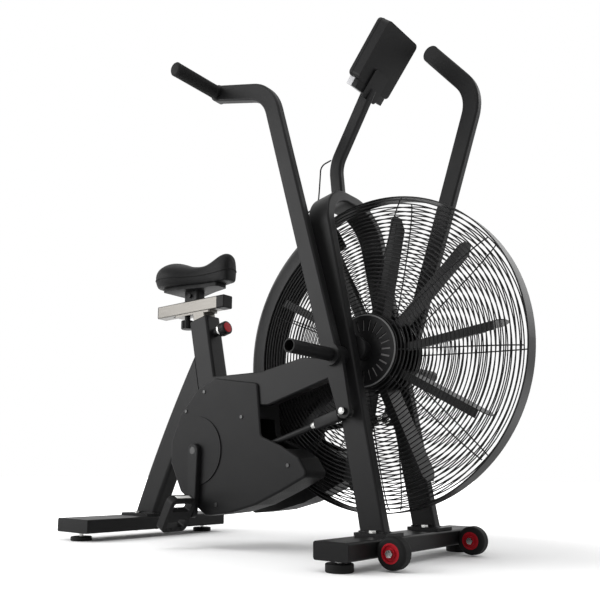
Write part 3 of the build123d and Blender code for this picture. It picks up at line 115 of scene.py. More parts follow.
# Rod trim; a profile lists reach and radius
ROD_EYE = 0.013         # middle of an eye in from the end of its rod
ROD_SLICE = 0.004
LINK_PLACE = 0.066
LINK_SIZE = (0.080, 0.020, 0.027)
LINK_EDGE = 0.003
COLLAR_PLACE = 0.106
COLLAR_PROFILE = ((0.0, 0.0105), (0.010, 0.0105), (0.012, 0.0095))
CAP_FACE = 0.1782
CAP_PROFILE = ((0.0, 0.0085), (0.0010, 0.0085), (0.0024, 0.0065), (0.0030, 0.0030))

# Pedal trim
REFLECTOR_OUT = 0.0500
REFLECTOR_SIZE = (0.0020, 0.0500, 0.0120)
REFLECTOR_EDGE = 0.0008
STUDS = 4
STUD_OUT = 0.0430
STUD_RISE = 0.0120
STUD_PITCH = 0.0170
STUD_PROFILE = ((-0.001, 0.0032), (0.0008, 0.0032), (0.0016, 0.0022))

# Grips
GRIP_BORE = 0.0142
GRIP_COLLAR = 0.0060
RIB_START = 0.0075
RIB_END = 0.0140        # the ribs stop this far from the end
RIB_DROP = 0.0002

# Saddle and knob
SADDLE_SHRINK = Vector((0.97, 0.95, 0.96))
SADDLE_WELD = 0.0002
SADDLE_LEAST = 500      # points that a good mesh has at least
HELD_BAND = 0.003
CLOTH_FRAMES = 20
CLOTH_QUALITY = 5
WELT_POINTS = 120
WELT_REACH = (0.17, 0.125)
WELT_RISE = 0.022
WELT_NOSE_LIFT = 0.016
WELT_ENDS = (0.055, 0.022)
WELT_R = 0.0017
KNOB_DROP = 0.051
KNOB_FACE_OUT = 0.0915
KNOB_FACE = ((0.0, 0.0155), (0.0012, 0.0155), (0.0020, 0.0145), (0.0022, 0.010))
KNOB_COLLAR_OUT = 0.0622
KNOB_COLLAR = (
    (0.0, 0.0064), (0.0, 0.0150), (0.0012, 0.0212), (0.0050, 0.0216), (0.0064, 0.0212), (0.0064, 0.0064))

# Console trim
HOUSING_HALF = (0.0725, 0.0790)
HOUSING_CORNER = 0.012
FOOT_DROP = 0.0895
PALE_FOOT = (0.0140, (0.0200, 0.1240, 0.0220))      # place behind the face, and size
DARK_FOOT = (0.0330, (0.0180, 0.1240, 0.0220))
FOOT_EDGE = 0.0015
SEAM_BACK = 0.0130
SEAM_R = 0.0009

# Studio
FLOOR_HALF = 14.0
FADE_FROM, FADE_TO = 0.7, 1.9       # where the floor runs out into white
AIM = (0.0, 0.0, 0.7)


# Settings a user would change
def colour_setting(label, note, value):
    """A colour with its name, description and default."""
    return FloatVectorProperty(
        name=label, description=note, subtype="COLOR", default=value, min=0.0, max=1.0)


def length_setting(label, note, value):
    """A length in metres with its name, description and default."""
    return FloatProperty(name=label, description=note, default=value, unit="LENGTH")


class BikeFinish(bpy.types.PropertyGroup):
    """Colours of the finishes."""

    paint: colour_setting("Frame Paint", "Powder coat of the frame", (0.0055, 0.0055, 0.0057))
    plastic: colour_setting("Moulded Plastic", "Drive covers, caps and housings", (0.0035, 0.0035, 0.0037))
    rubber: colour_setting("Rubber", "Grips, tyres, pads and belt", (0.004, 0.004, 0.004))
    accent: colour_setting("Red Accent", "Wheel hubs and the face of the pull knob", (0.27, 0.006, 0.012))
    steel: colour_setting("Bright Steel", "Bolts, pins and rod ends", (0.46, 0.46, 0.45))
    brushed: colour_setting("Brushed Steel", "Seat post and saddle rail", (0.125, 0.119, 0.110))
    blades: colour_setting("Blade Paint", "Painted sheet of the fan blades", (0.005, 0.005, 0.0052))
    hide: colour_setting("Saddle Cover", "Synthetic leather of the saddle", (0.0045, 0.0045, 0.0048))


class BikeSizes(bpy.types.PropertyGroup):
    """Sizes and counts of the detailed pieces."""

    rings: IntProperty(
        name="Cage Rings", description="Rings of wire in one guard", default=31, min=8, max=60)
    spokes: IntProperty(
        name="Cage Spokes", description="Radial wires in one guard", default=9, min=3, max=24)
    wire: length_setting("Cage Wire", "Radius of the cage wire", 0.0016)
    grip_pitch: length_setting("Grip Rib Pitch", "Distance between the ribs of a grip", 0.0052)
    grip_depth: length_setting("Grip Rib Depth", "Depth between the ribs of a grip", 0.0011)
    voxel: length_setting("Saddle Mesh", "Mesh size of the saddle before it swells", 0.005)
    swell: length_setting("Saddle Swell", "Furthest a point of the saddle may move", 0.007)
    pressure: FloatProperty(
        name="Saddle Pressure", description="Pressure of the filling", default=4.0)
    bead: length_setting("Weld Bead", "Radius of a weld bead", 0.0030)


class BikeStudio(bpy.types.PropertyGroup):
    """The floor, the light and the camera."""

    floor: colour_setting("Floor", "Colour of the floor", (0.93, 0.93, 0.93))
    ambient: FloatProperty(
        name="Room Light", description="Strength of the even light", default=0.80)
    key: FloatProperty(
        name="Key Light", description="Power of the key softbox in watts", default=130.0)
    fill: FloatProperty(
        name="Fill Light", description="Power of the fill softbox in watts", default=22.0)
    lens: FloatProperty(
        name="Lens", description="Focal length in millimetres", default=42.98)


# Shader node groups shared by the finishes
def group_tree(name, inputs, outputs):
    """A new shader group with its sockets, and its two end nodes."""
    tree = bpy.data.node_groups.new(name, "ShaderNodeTree")
    for label, kind, value in inputs:
        socket = tree.interface.new_socket(name=label, in_out="INPUT", socket_type=kind)
        socket.default_value = value
    for label, kind in outputs:
        tree.interface.new_socket(name=label, in_out="OUTPUT", socket_type=kind)
    return tree, tree.nodes.new("NodeGroupInput"), tree.nodes.new("NodeGroupOutput")


def math_node(tree, operation, first, second):
    """A maths node; each operand is a socket or a number."""
    node = tree.nodes.new("ShaderNodeMath")
    node.operation = operation
    for socket, operand in zip(node.inputs, (first, second)):
        if isinstance(operand, (int, float)):
            socket.default_value = operand
        else:
            tree.links.new(operand, socket)
    return node.outputs[0]


def mix_colour(tree, factor, first, second):
    """The blend of two colours by a factor."""
    node = tree.nodes.new("ShaderNodeMix")
    node.data_type = "RGBA"
    tree.links.new(factor, node.inputs["Factor"])
    sockets = [socket for socket in node.inputs if socket.type == "RGBA"]
    for socket, colour in zip(sockets, (first, second)):
        if isinstance(colour, tuple):
            socket.default_value = colour
        else:
            tree.links.new(colour, socket)
    return [socket for socket in node.outputs if socket.type == "RGBA"][0]


def vector_node(tree, operation, first, second=None):
    """A vector maths node; the second operand is a socket, a vector or left out."""
    node = tree.nodes.new("ShaderNodeVectorMath")
    node.operation = operation
    tree.links.new(first, node.inputs[0])
    if isinstance(second, bpy.types.NodeSocket):
        tree.links.new(second, node.inputs[1])
    elif second is not None:
        node.inputs[1].default_value = second
    return node.outputs["Value" if operation in ("LENGTH", "DOT_PRODUCT") else "Vector"]


def object_place(tree):
    """The place of a surface point on its own piece."""
    return tree.nodes.new("ShaderNodeTexCoord").outputs["Object"]


def split_place(tree, vector):
    """The X, Y and Z of a vector."""
    node = tree.nodes.new("ShaderNodeSeparateXYZ")
    tree.links.new(vector, node.inputs[0])
    return node.outputs


def noise(tree, vector, scale, detail):
    """A noise value over the surface; the scale is a socket or a number."""
    node = tree.nodes.new("ShaderNodeTexNoise")
    node.inputs["Detail"].default_value = detail
    tree.links.new(vector, node.inputs["Vector"])
    if isinstance(scale, (int, float)):
        node.inputs["Scale"].default_value = scale
    else:
        tree.links.new(scale, node.inputs["Scale"])
    return node.outputs["Fac"]


COLOUR, VALUE = "NodeSocketColor", "NodeSocketFloat"
SURFACE_OUT = (("Color", COLOUR), ("Roughness", VALUE), ("Height", VALUE))


def end_surface(tree, start, end, colour, vary, height):
    """Feeds a surface group's outputs; the roughness moves with a varying value."""
    shift = math_node(tree, "MULTIPLY", math_node(tree, "SUBTRACT", vary, 0.5), start.outputs["Spread"])
    tree.links.new(colour, end.inputs["Color"])
    tree.links.new(math_node(tree, "ADD", start.outputs["Roughness"], shift), end.inputs["Roughness"])
    tree.links.new(height, end.inputs["Height"])
    return tree


def coat_grain_group():
    """Fine pimples and broad patches of powder coat, moulded plastic or rubber."""
    tree, start, end = group_tree("coat_grain", (
        ("Color", COLOUR, (0.02, 0.02, 0.02, 1.0)), ("Patch Color", COLOUR, (0.03, 0.03, 0.03, 1.0)),
        ("Grain Scale", VALUE, 900.0), ("Roughness", VALUE, 0.45), ("Spread", VALUE, 0.12)),
        SURFACE_OUT)
    place = object_place(tree)
    fine = noise(tree, place, start.outputs["Grain Scale"], 2.0)
    patch = noise(tree, place, 14.0, 5.0)
    colour = mix_colour(tree, patch, start.outputs["Color"], start.outputs["Patch Color"])
    return end_surface(tree, start, end, colour, patch, fine)


def brush_group():
    """Fine lines of drawn or brushed metal, long in one direction."""
    tree, start, end = group_tree("brush_lines", (
        ("Color", COLOUR, (0.6, 0.6, 0.6, 1.0)), ("Line Color", COLOUR, (0.45, 0.45, 0.45, 1.0)),
        ("Stretch", "NodeSocketVector", (20.0, 900.0, 900.0)), ("Roughness", VALUE, 0.3),
        ("Spread", VALUE, 0.2)), SURFACE_OUT)
    stretched = vector_node(tree, "MULTIPLY", object_place(tree), start.outputs["Stretch"])
    lines = noise(tree, stretched, 1.0, 3.0)
    colour = mix_colour(tree, lines, start.outputs["Color"], start.outputs["Line Color"])
    return end_surface(tree, start, end, colour, lines, lines)


def hide_group():
    """Pebbled grain of synthetic leather, with painted shade darkening the creases between the pebbles."""
    tree, start, end = group_tree("hide_grain", (
        ("Color", COLOUR, (0.013, 0.013, 0.013, 1.0)),
        ("Crease Color", COLOUR, (0.006, 0.006, 0.006, 1.0)),
        ("Cell Scale", VALUE, 520.0), ("Roughness", VALUE, 0.48), ("Spread", VALUE, 0.18)), SURFACE_OUT)
    place = object_place(tree)
    cells = tree.nodes.new("ShaderNodeTexVoronoi")
    cells.feature = "DISTANCE_TO_EDGE"
    tree.links.new(place, cells.inputs["Vector"])
    tree.links.new(start.outputs["Cell Scale"], cells.inputs["Scale"])
    rise = math_node(tree, "MULTIPLY", cells.outputs["Distance"], 6.0)
    crease = math_node(tree, "MINIMUM", rise, 1.0)
    patch = noise(tree, place, 22.0, 4.0)
    # The creases take a darker colour: painted shade in the grain
    colour = mix_colour(tree, crease, start.outputs["Crease Color"], start.outputs["Color"])
    return end_surface(tree, start, end, colour, patch, crease)


def dust_group():
    """A thin film of dust on faces that look up."""
    tree, start, end = group_tree("settled_dust", (
        ("Color", COLOUR, (0.02, 0.02, 0.02, 1.0)), ("Dust Color", COLOUR, (0.12, 0.115, 0.11, 1.0)),
        ("Amount", VALUE, 0.1)), (("Color", COLOUR),))
    place = object_place(tree)
    facing = split_place(tree, tree.nodes.new("ShaderNodeNewGeometry").outputs["Normal"])
    upward = math_node(tree, "MAXIMUM", facing["Z"], 0.0)
    cloud = noise(tree, place, 38.0, 6.0)
    settled = math_node(tree, "MULTIPLY", upward, cloud)
    film = math_node(tree, "MULTIPLY", settled, start.outputs["Amount"])
    colour = mix_colour(tree, film, start.outputs["Color"], start.outputs["Dust Color"])
    tree.links.new(colour, end.inputs["Color"])
    return tree


GROUPS = {}


def shared_group(name):
    """One of the shared groups, built on first use."""
    makers = {
        "coat_grain": coat_grain_group, "brush_lines": brush_group,
        "hide_grain": hide_group, "settled_dust": dust_group}
    if name not in GROUPS:
        GROUPS[name] = makers[name]()
    return GROUPS[name]


# Materials
def solid_colour(colour, gain=1.0):
    """A colour with its alpha, brightened by a gain."""
    return tuple(min(1.0, part * gain) for part in colour[:3]) + (1.0,)


def new_material(name, metallic=0.0):
    """An empty material with a Principled shader."""
    material = bpy.data.materials.new(name)
    material.use_nodes = True
    tree = material.node_tree
    shader = tree.nodes["Principled BSDF"]
    shader.inputs["Metallic"].default_value = metallic
    shader.inputs["Specular IOR Level"].default_value = METAL_SHEEN if metallic else SHEEN
    return material, tree, shader


def place_group(tree, name, **values):
    """A shared group in a material, with its own values."""
    node = tree.nodes.new("ShaderNodeGroup")
    node.node_tree = shared_group(name)
    for label, value in values.items():
        node.inputs[label.replace("_", " ")].default_value = value
    return node


def join_surface(tree, shader, colour, roughness, height, strength, depth):
    """Feeds a surface's colour, roughness and relief to its shader."""
    bump = tree.nodes.new("ShaderNodeBump")
    bump.inputs["Strength"].default_value = strength
    bump.inputs["Distance"].default_value = depth
    tree.links.new(height, bump.inputs["Height"])
    tree.links.new(colour, shader.inputs["Base Color"])
    tree.links.new(roughness, shader.inputs["Roughness"])
    tree.links.new(bump.outputs["Normal"], shader.inputs["Normal"])


def coated(name, colour, roughness, grain, relief, dust, gain):
    """Paint, plastic or rubber with a fine grain and a little dust."""
    material, tree, shader = new_material(name)
    coat = place_group(
        tree, "coat_grain", Color=solid_colour(colour), Patch_Color=solid_colour(colour, gain),
        Grain_Scale=grain, Roughness=roughness, Spread=0.14)
    dusty = place_group(tree, "settled_dust", Amount=dust)
    tree.links.new(coat.outputs["Color"], dusty.inputs["Color"])
    join_surface(tree, shader, dusty.outputs["Color"], coat.outputs["Roughness"],
                 coat.outputs["Height"], relief, COAT_DEPTH)
    return material


def metal(name, colour, roughness, stretch, relief=0.08):
    """Bare metal with drawn lines."""
    material, tree, shader = new_material(name, metallic=1.0)
    lines = place_group(
        tree, "brush_lines", Color=solid_colour(colour), Line_Color=solid_colour(colour, 0.78),
        Stretch=stretch, Roughness=roughness, Spread=0.16)
    join_surface(tree, shader, lines.outputs["Color"], lines.outputs["Roughness"],
                 lines.outputs["Height"], relief, 0.0002)
    return material


def hide(name, colour):
    """Synthetic leather."""
    material, tree, shader = new_material(name)
    grain = place_group(
        # Half as bright in the creases of the grain: painted shade
        tree, "hide_grain", Color=solid_colour(colour), Crease_Color=solid_colour(colour, 0.5))
    join_surface(tree, shader, grain.outputs["Color"], grain.outputs["Roughness"],
                 grain.outputs["Height"], 0.35, 0.0005)
    return material


def distance_mask(tree, middle, radius, axes=(1.0, 1.0, 1.0)):
    """1 inside a radius of a point, 0 outside; an axis of 0 is left out of the distance."""
    shifted = vector_node(tree, "SUBTRACT", object_place(tree), middle)
    distance = vector_node(tree, "LENGTH", vector_node(tree, "MULTIPLY", shifted, axes))
    return math_node(tree, "LESS_THAN", distance, radius)


def wheel_finish(name, rubber, accent):
    """Black tyre and red hub on one piece."""
    material, tree, shader = new_material(name)
    tyre = place_group(
        tree, "coat_grain", Color=solid_colour(rubber), Patch_Color=solid_colour(rubber, 2.0),
        Grain_Scale=700.0, Roughness=0.62, Spread=0.15)
    mask = distance_mask(tree, (WHEEL_HUB[0], 0.0, WHEEL_HUB[1]), WHEEL_MASK_R, (1.0, 0.0, 1.0))
    colour = mix_colour(tree, mask, tyre.outputs["Color"], solid_colour(accent))
    roughness = math_node(
        tree, "SUBTRACT", tyre.outputs["Roughness"], math_node(tree, "MULTIPLY", mask, 0.25))
    join_surface(tree, shader, colour, roughness, tyre.outputs["Height"], 0.2, COAT_DEPTH)
    return material


def foot_finish(name, rubber, steel, pad_top):
    """Rubber pad below, bright stud and nut above."""
    material, tree, shader = new_material(name)
    pad = place_group(
        tree, "coat_grain", Color=solid_colour(rubber), Patch_Color=solid_colour(rubber, 2.0),
        Grain_Scale=700.0, Roughness=0.6, Spread=0.15)
    height = split_place(tree, object_place(tree))["Z"]
    stud = math_node(tree, "GREATER_THAN", height, pad_top)
    colour = mix_colour(tree, stud, pad.outputs["Color"], solid_colour(steel))
    roughness = math_node(
        tree, "SUBTRACT", pad.outputs["Roughness"], math_node(tree, "MULTIPLY", stud, 0.3))
    join_surface(tree, shader, colour, roughness, pad.outputs["Height"], 0.15, COAT_DEPTH)
    tree.links.new(stud, shader.inputs["Metallic"])
    return material


def rod_finish(name, paint, steel, node):
    """Painted rod with bare steel ends."""
    material, tree, shader = new_material(name)
    low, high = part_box(node)
    coat = place_group(
        tree, "coat_grain", Color=solid_colour(paint), Patch_Color=solid_colour(paint, 1.5),
        Grain_Scale=1100.0, Roughness=0.4, Spread=0.14)
    along = split_place(tree, object_place(tree))["X"]
    front = math_node(tree, "GREATER_THAN", along, high.x - BARE_FRONT)
    rear = math_node(tree, "LESS_THAN", along, low.x + BARE_REAR)
    bare = math_node(tree, "MAXIMUM", front, rear)
    colour = mix_colour(tree, bare, coat.outputs["Color"], solid_colour(steel))
    roughness = math_node(
        tree, "SUBTRACT", coat.outputs["Roughness"], math_node(tree, "MULTIPLY", bare, 0.14))
    join_surface(tree, shader, colour, roughness, coat.outputs["Height"], 0.15, 0.0003)
    tree.links.new(bare, shader.inputs["Metallic"])
    return material


def display_finish(name):
    """A dark lens with a pale field of plain cells."""
    material, tree, shader = new_material(name)
    place = object_place(tree)
    parts = []
    for direction in (ACROSS, FACE_UP):
        along = vector_node(tree, "DOT_PRODUCT", place, direction)
        parts.append(math_node(tree, "SUBTRACT", along, FACE_MIDDLE.dot(direction)))
    flat = tree.nodes.new("ShaderNodeCombineXYZ")
    tree.links.new(parts[0], flat.inputs["X"])
    tree.links.new(parts[1], flat.inputs["Y"])
    cells = tree.nodes.new("ShaderNodeTexBrick")
    cells.offset = 0.0
    cells.inputs["Color1"].default_value = (0.30, 0.35, 0.31, 1.0)
    cells.inputs["Color2"].default_value = (0.27, 0.32, 0.28, 1.0)
    cells.inputs["Mortar"].default_value = (0.05, 0.06, 0.055, 1.0)
    cells.inputs["Scale"].default_value = 1.0
    cells.inputs["Mortar Size"].default_value = 0.0007
    cells.inputs["Brick Width"].default_value = 0.0245
    cells.inputs["Row Height"].default_value = 0.018
    tree.links.new(flat.outputs[0], cells.inputs["Vector"])
    wide = math_node(tree, "LESS_THAN", math_node(tree, "ABSOLUTE", parts[0], 0.0), SCREEN_HALF[0])
    raised = math_node(tree, "SUBTRACT", parts[1], SCREEN_RISE)
    tall = math_node(tree, "LESS_THAN", math_node(tree, "ABSOLUTE", raised, 0.0), SCREEN_HALF[1])
    field = math_node(tree, "MULTIPLY", wide, tall)
    colour = mix_colour(tree, field, (0.008, 0.008, 0.009, 1.0), cells.outputs["Color"])
    smudge = noise(tree, place, 30.0, 4.0)
    roughness = math_node(tree, "ADD", math_node(tree, "MULTIPLY", smudge, 0.1), 0.06)
    tree.links.new(colour, shader.inputs["Base Color"])
    tree.links.new(roughness, shader.inputs["Roughness"])
    shader.inputs["Coat Weight"].default_value = 0.6
    return material


# A coat's colour or setting, roughness, grain, relief, dust and gain of its patches
COATS = {
    "powder_coat": ("paint", 0.40, 1100.0, 0.30, 0.05, 1.5),
    "cage_coat": ("paint", 0.36, 1500.0, 0.10, 0.03, 1.5),
    "moulded": ("plastic", 0.46, 1300.0, 0.35, 0.05, 1.5),
    "rubber": ("rubber", 0.66, 800.0, 0.30, 0.05, 2.0),
    "accent": ("accent", 0.34, 900.0, 0.08, 0.02, 1.15),
    "blade_paint": ("blades", 0.34, 1200.0, 0.12, 0.04, 1.5),
    # Grey of the vent disc: painted light standing in for the lit fins seen through the hub cover's slots
    "vent_shade": ((0.16, 0.155, 0.155), 0.5, 600.0, 0.2, 0.06, 1.5),
    # Grey of the hub hoop: a painted highlight of the glossy black rim round the hub cover
    "satin_ring": ((0.10, 0.10, 0.10), 0.32, 1200.0, 0.1, 0.06, 1.1),
    "white_reflector": ((0.74, 0.74, 0.72), 0.25, 260.0, 0.5, 0.06, 1.05),
    "pale_tab": ((0.40, 0.40, 0.41), 0.45, 900.0, 0.2, 0.06, 1.1),
}
# A metal's colour or setting, roughness and stretch of its lines
METALS = {
    "bright": ("steel", 0.24, (500.0, 500.0, 500.0)),
    "dark_screw": ((0.05, 0.05, 0.05), 0.34, (500.0, 500.0, 500.0)),
    "brushed_long": ("brushed", 0.38, (16.0, 900.0, 900.0)),
    "brushed_post": ("brushed", 0.38, (900.0, 900.0, 16.0)),
}
MATERIALS = {}


def make_finish(name):
    """A new material for one of the bike's finishes."""
    colours = bpy.context.scene.bike_finish
    for table, maker in ((COATS, coated), (METALS, metal)):
        if name in table:
            colour, *values = table[name]
            return maker(name, getattr(colours, colour) if isinstance(colour, str) else colour, *values)
    if name in PAD_TOPS:
        return foot_finish(name, colours.rubber, colours.steel, PAD_TOPS[name])
    makers = {
        "rod_right": lambda: rod_finish(name, colours.paint, colours.steel, "connecting_rod_right"),
        "rod_left": lambda: rod_finish(name, colours.paint, colours.steel, "connecting_rod_left"),
        "hide": lambda: hide(name, colours.hide),
        "wheel": lambda: wheel_finish(name, colours.rubber, colours.accent),
        "display": lambda: display_finish(name),
    }
    return makers[name]()


def finish(name):
    """A finish of this bike, made on first use."""
    if name not in MATERIALS:
        MATERIALS[name] = make_finish(name)
    return MATERIALS[name]


def dress(name, *nodes):
    """Puts a finish on construction nodes."""
    for node in nodes:
        slots = NODES[node].data.materials
        slots.clear()
        slots.append(finish(name))


# Mesh helpers
def add_piece(name, data, material, body):
    """A new piece in the scene, finished and riding its body."""
    piece = bpy.data.objects.new(name, data)
    bpy.context.scene.collection.objects.link(piece)
    data.materials.clear()
    data.materials.append(finish(material))
    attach(piece, body)
    return piece


def smooth_mesh(name, points, faces, sharp=35.0):
    """A mesh with smooth faces and crisp corners."""
    mesh = bpy.data.meshes.new(name)
    mesh.from_pydata([tuple(point) for point in points], [], faces)
    work = bmesh.new()
    work.from_mesh(mesh)
    bmesh.ops.recalc_face_normals(work, faces=work.faces[:])
    for edge in work.edges:
        if len(edge.link_faces) == 2:
            edge.smooth = edge.calc_face_angle(0.0) < math.radians(sharp)
    work.to_mesh(mesh)
    work.free()
    for face in mesh.polygons:
        face.use_smooth = True
    mesh.update()
    return mesh


def turned(name, middle, axis, profile, steps=48, ring=False):
    """A turned mesh: profile points of reach along the axis and radius; a ring's profile is closed."""
    axis = axis.normalized()
    side = axis.orthogonal().normalized()
    other = axis.cross(side)
    points, faces = [], []
    count = len(profile)
    for step in range(steps):
        turn = 2 * math.pi * step / steps
        out = side * math.cos(turn) + other * math.sin(turn)
        points += [middle + axis * reach + out * radius for reach, radius in profile]
    last = count if ring else count - 1
    for step in range(steps):
        here, there = step * count, (step + 1) % steps * count
        for row in range(last):
            after = (row + 1) % count
            faces.append((here + row, there + row, there + after, here + after))
    if not ring:
        faces.append(tuple(step * count for step in range(steps)))
        faces.append(tuple(step * count + count - 1 for step in range(steps)))
    return smooth_mesh(name, points, faces)


def slab(name, middle, axes, sizes, edge):
    """A block with bevelled edges, on three given axes."""
    mesh = bpy.data.meshes.new(name)
    work = bmesh.new()
    bmesh.ops.create_cube(work, size=1.0)
    bmesh.ops.scale(work, vec=sizes, verts=work.verts[:])
    bmesh.ops.bevel(work, geom=work.edges[:], offset=edge, segments=3, affect="EDGES", profile=0.5)
    turn = Matrix((axes[0], axes[1], axes[2])).transposed().to_4x4()
    bmesh.ops.transform(work, matrix=Matrix.Translation(middle) @ turn, verts=work.verts[:])
    work.to_mesh(mesh)
    work.free()
    for face in mesh.polygons:
        face.use_smooth = True
    return mesh


def wire_curve(name, runs, radius, sides=3):
    """Round wire along runs of points; each run is (points, closed)."""
    curve = bpy.data.curves.new(name, "CURVE")
    curve.dimensions = "3D"
    curve.bevel_depth = radius
    curve.bevel_resolution = sides
    curve.use_fill_caps = True
    for points, closed in runs:
        spline = curve.splines.new("POLY")
        spline.points.add(len(points) - 1)
        for slot, point in zip(spline.points, points):
            slot.co = (*point, 1.0)
        spline.use_cyclic_u = closed
    return curve


def weld_bead(name, corners, radius):
    """A lumpy weld bead round a closed run of corners."""
    points, radii = [], []
    for here, there in zip(corners, corners[1:] + corners[:1]):
        steps = max(2, int((there - here).length / BEAD_STEP))
        for step in range(steps):
            points.append(here.lerp(there, step / steps))
            count = len(radii)
            radii.append(1.0 + 0.22 * math.sin(count * 1.9) + 0.08 * math.sin(count * 0.7))
    curve = wire_curve(name, [(points, True)], radius, sides=2)
    for slot, size in zip(curve.splines[0].points, radii):
        slot.radius = size
    add_piece(name, curve, "powder_coat", "frame")


def upright_turn(x, z, lean):
    """A point of a piece that is turned about Y."""
    cos, sin = math.cos(lean), math.sin(lean)
    return Vector((x * cos + z * sin, 0.0, z * cos - x * sin))


class BikeOperator:
    """What every step of the bike shares."""

    bl_options = {"REGISTER", "UNDO"}


# Operators
class BIKE_OT_frame(BikeOperator, bpy.types.Operator):
    """Paint the welded frame and lay its weld beads"""

    bl_idname = "bike.frame"
    bl_label = "Frame"

    @staticmethod
    def weld(name, x, y, half, bead):
        """The bead round the foot of a leg, on its base plate."""
        corners = [Vector((x + along * half[0], y + across * half[1], PLATE_TOP))
                   for along, across in ((-1, -1), (1, -1), (1, 1), (-1, 1))]
        weld_bead(name, corners, bead)

    def execute(self, context):
        dress("powder_coat", "front_floor_bar", "rear_floor_bar", "fork_leg_right", "fork_leg_left",
              "fork_arch", "rear_leg", "seat_tube", "main_beam", "side_beam_right", "side_beam_left",
              "crank_housing", "console_post")
        bead = context.scene.bike_sizes.bead
        for side, word in ((-1, "right"), (1, "left")):
            self.weld("fork_weld_" + word, FORK_FOOT_X, side * LEG_Y, FORK_WELD, bead)
        self.weld("rear_leg_weld", REAR_FOOT_X, 0.0, REAR_WELD, bead)
        return {"FINISHED"}


class BIKE_OT_floor_fittings(BikeOperator, bpy.types.Operator):
    """Finish the end caps, levelling feet, transport wheels and bolts"""

    bl_idname = "bike.floor_fittings"
    bl_label = "Floor Fittings"

    def execute(self, context):
        dress("moulded", "floor_bar_end_caps")
        dress("bright", "frame_bolts")
        dress("wheel", "wheel_right", "wheel_left")
        dress("front_foot", "foot_front_right", "foot_front_left")
        dress("rear_foot", "foot_rear_right", "foot_rear_left")
        return {"FINISHED"}


class BIKE_OT_cage(BikeOperator, bpy.types.Operator):
    """Wind the full wire guards of the fan cage and finish the hoop and hub covers"""

    bl_idname = "bike.cage"
    bl_label = "Fan Cage"

    @staticmethod
    def dome(radius, wire):
        """Distance of a wire from the middle plane."""
        share = (radius - HUB_RING_R) / (RIM_R - wire - HUB_RING_R)
        return RIM_HALF + wire + (DOME_Y - RIM_HALF - wire) * math.sqrt(max(0.0, 1.0 - share ** 2))

    def guard(self, side, sizes):
        """Rings and spokes of one guard."""
        wire = sizes.wire
        reach = RIM_R - wire - HUB_RING_R
        radii = [HUB_RING_R + reach * step / (sizes.rings - 1) for step in range(sizes.rings)]
        runs = []
        for radius in radii:
            count = max(RING_LEAST, int(radius * RING_DENSITY))
            y = side * self.dome(radius, wire)
            turns = [2 * math.pi * step / count for step in range(count)]
            runs.append(([FAN + Vector((radius * math.cos(turn), y, radius * math.sin(turn)))
                          for turn in turns], True))
        fine = [HUB_RING_R + reach * step / SPOKE_STEPS for step in range(SPOKE_STEPS)]
        for spoke in range(sizes.spokes):
            turn = 2 * math.pi * spoke / sizes.spokes + SPOKE_PHASE
            out = Vector((math.cos(turn), 0.0, math.sin(turn)))
            runs.append(([
                FAN + out * radius + ACROSS * side * (self.dome(radius, wire) - SPOKE_DROP * wire)
                for radius in fine], False))
        return runs

    def execute(self, context):
        sizes = context.scene.bike_sizes
        dress("cage_coat", "fan_guard_rim")
        dress("moulded", "hub_covers")
        for side, word in ((-1, "right"), (1, "left")):
            curve = wire_curve("wire_guard_" + word, self.guard(side, sizes), sizes.wire, sides=2)
            guard = add_piece("wire_guard_" + word, curve, "cage_coat", "frame")
            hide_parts("fan_guard_" + word)
            # Grey disc under the cover's slots; its colour is painted light for the lit fins seen through
            # them
            inner, outer = VENT_LIGHT_RADII
            face = COVER_FACE - VENT_LIGHT_DROP
            top = face + VENT_LIGHT_THICK
            shade = turned("vent_shade_" + word, FAN.copy(), ACROSS * side, (
                (face, inner), (face, outer), (top, outer), (top, inner)), ring=True)
            add_piece("vent_shade_" + word, shade, "vent_shade", "frame")
            # Hoop round the hub cover, grey as a painted highlight of its glossy rim
            turns = [math.radians(30.0 * step) for step in range(12)]
            lip = [(COVER_FACE + HOOP_OUT + HOOP_WIRE * math.cos(turn), HOOP_R + HOOP_WIRE * math.sin(turn))
                   for turn in turns]
            hoop = turned("hub_hoop_" + word, FAN.copy(), ACROSS * side, lip, steps=96, ring=True)
            add_piece("hub_hoop_" + word, hoop, "satin_ring", "frame")
        return {"FINISHED"}


class BIKE_OT_fan(BikeOperator, bpy.types.Operator):
    """Finish the fan blades, the hub and the axle"""

    bl_idname = "bike.fan"
    bl_label = "Fan"

    def execute(self, context):
        dress("blade_paint", "fan_blades", "fan_hub")
        dress("bright", "fan_axle")
        return {"FINISHED"}


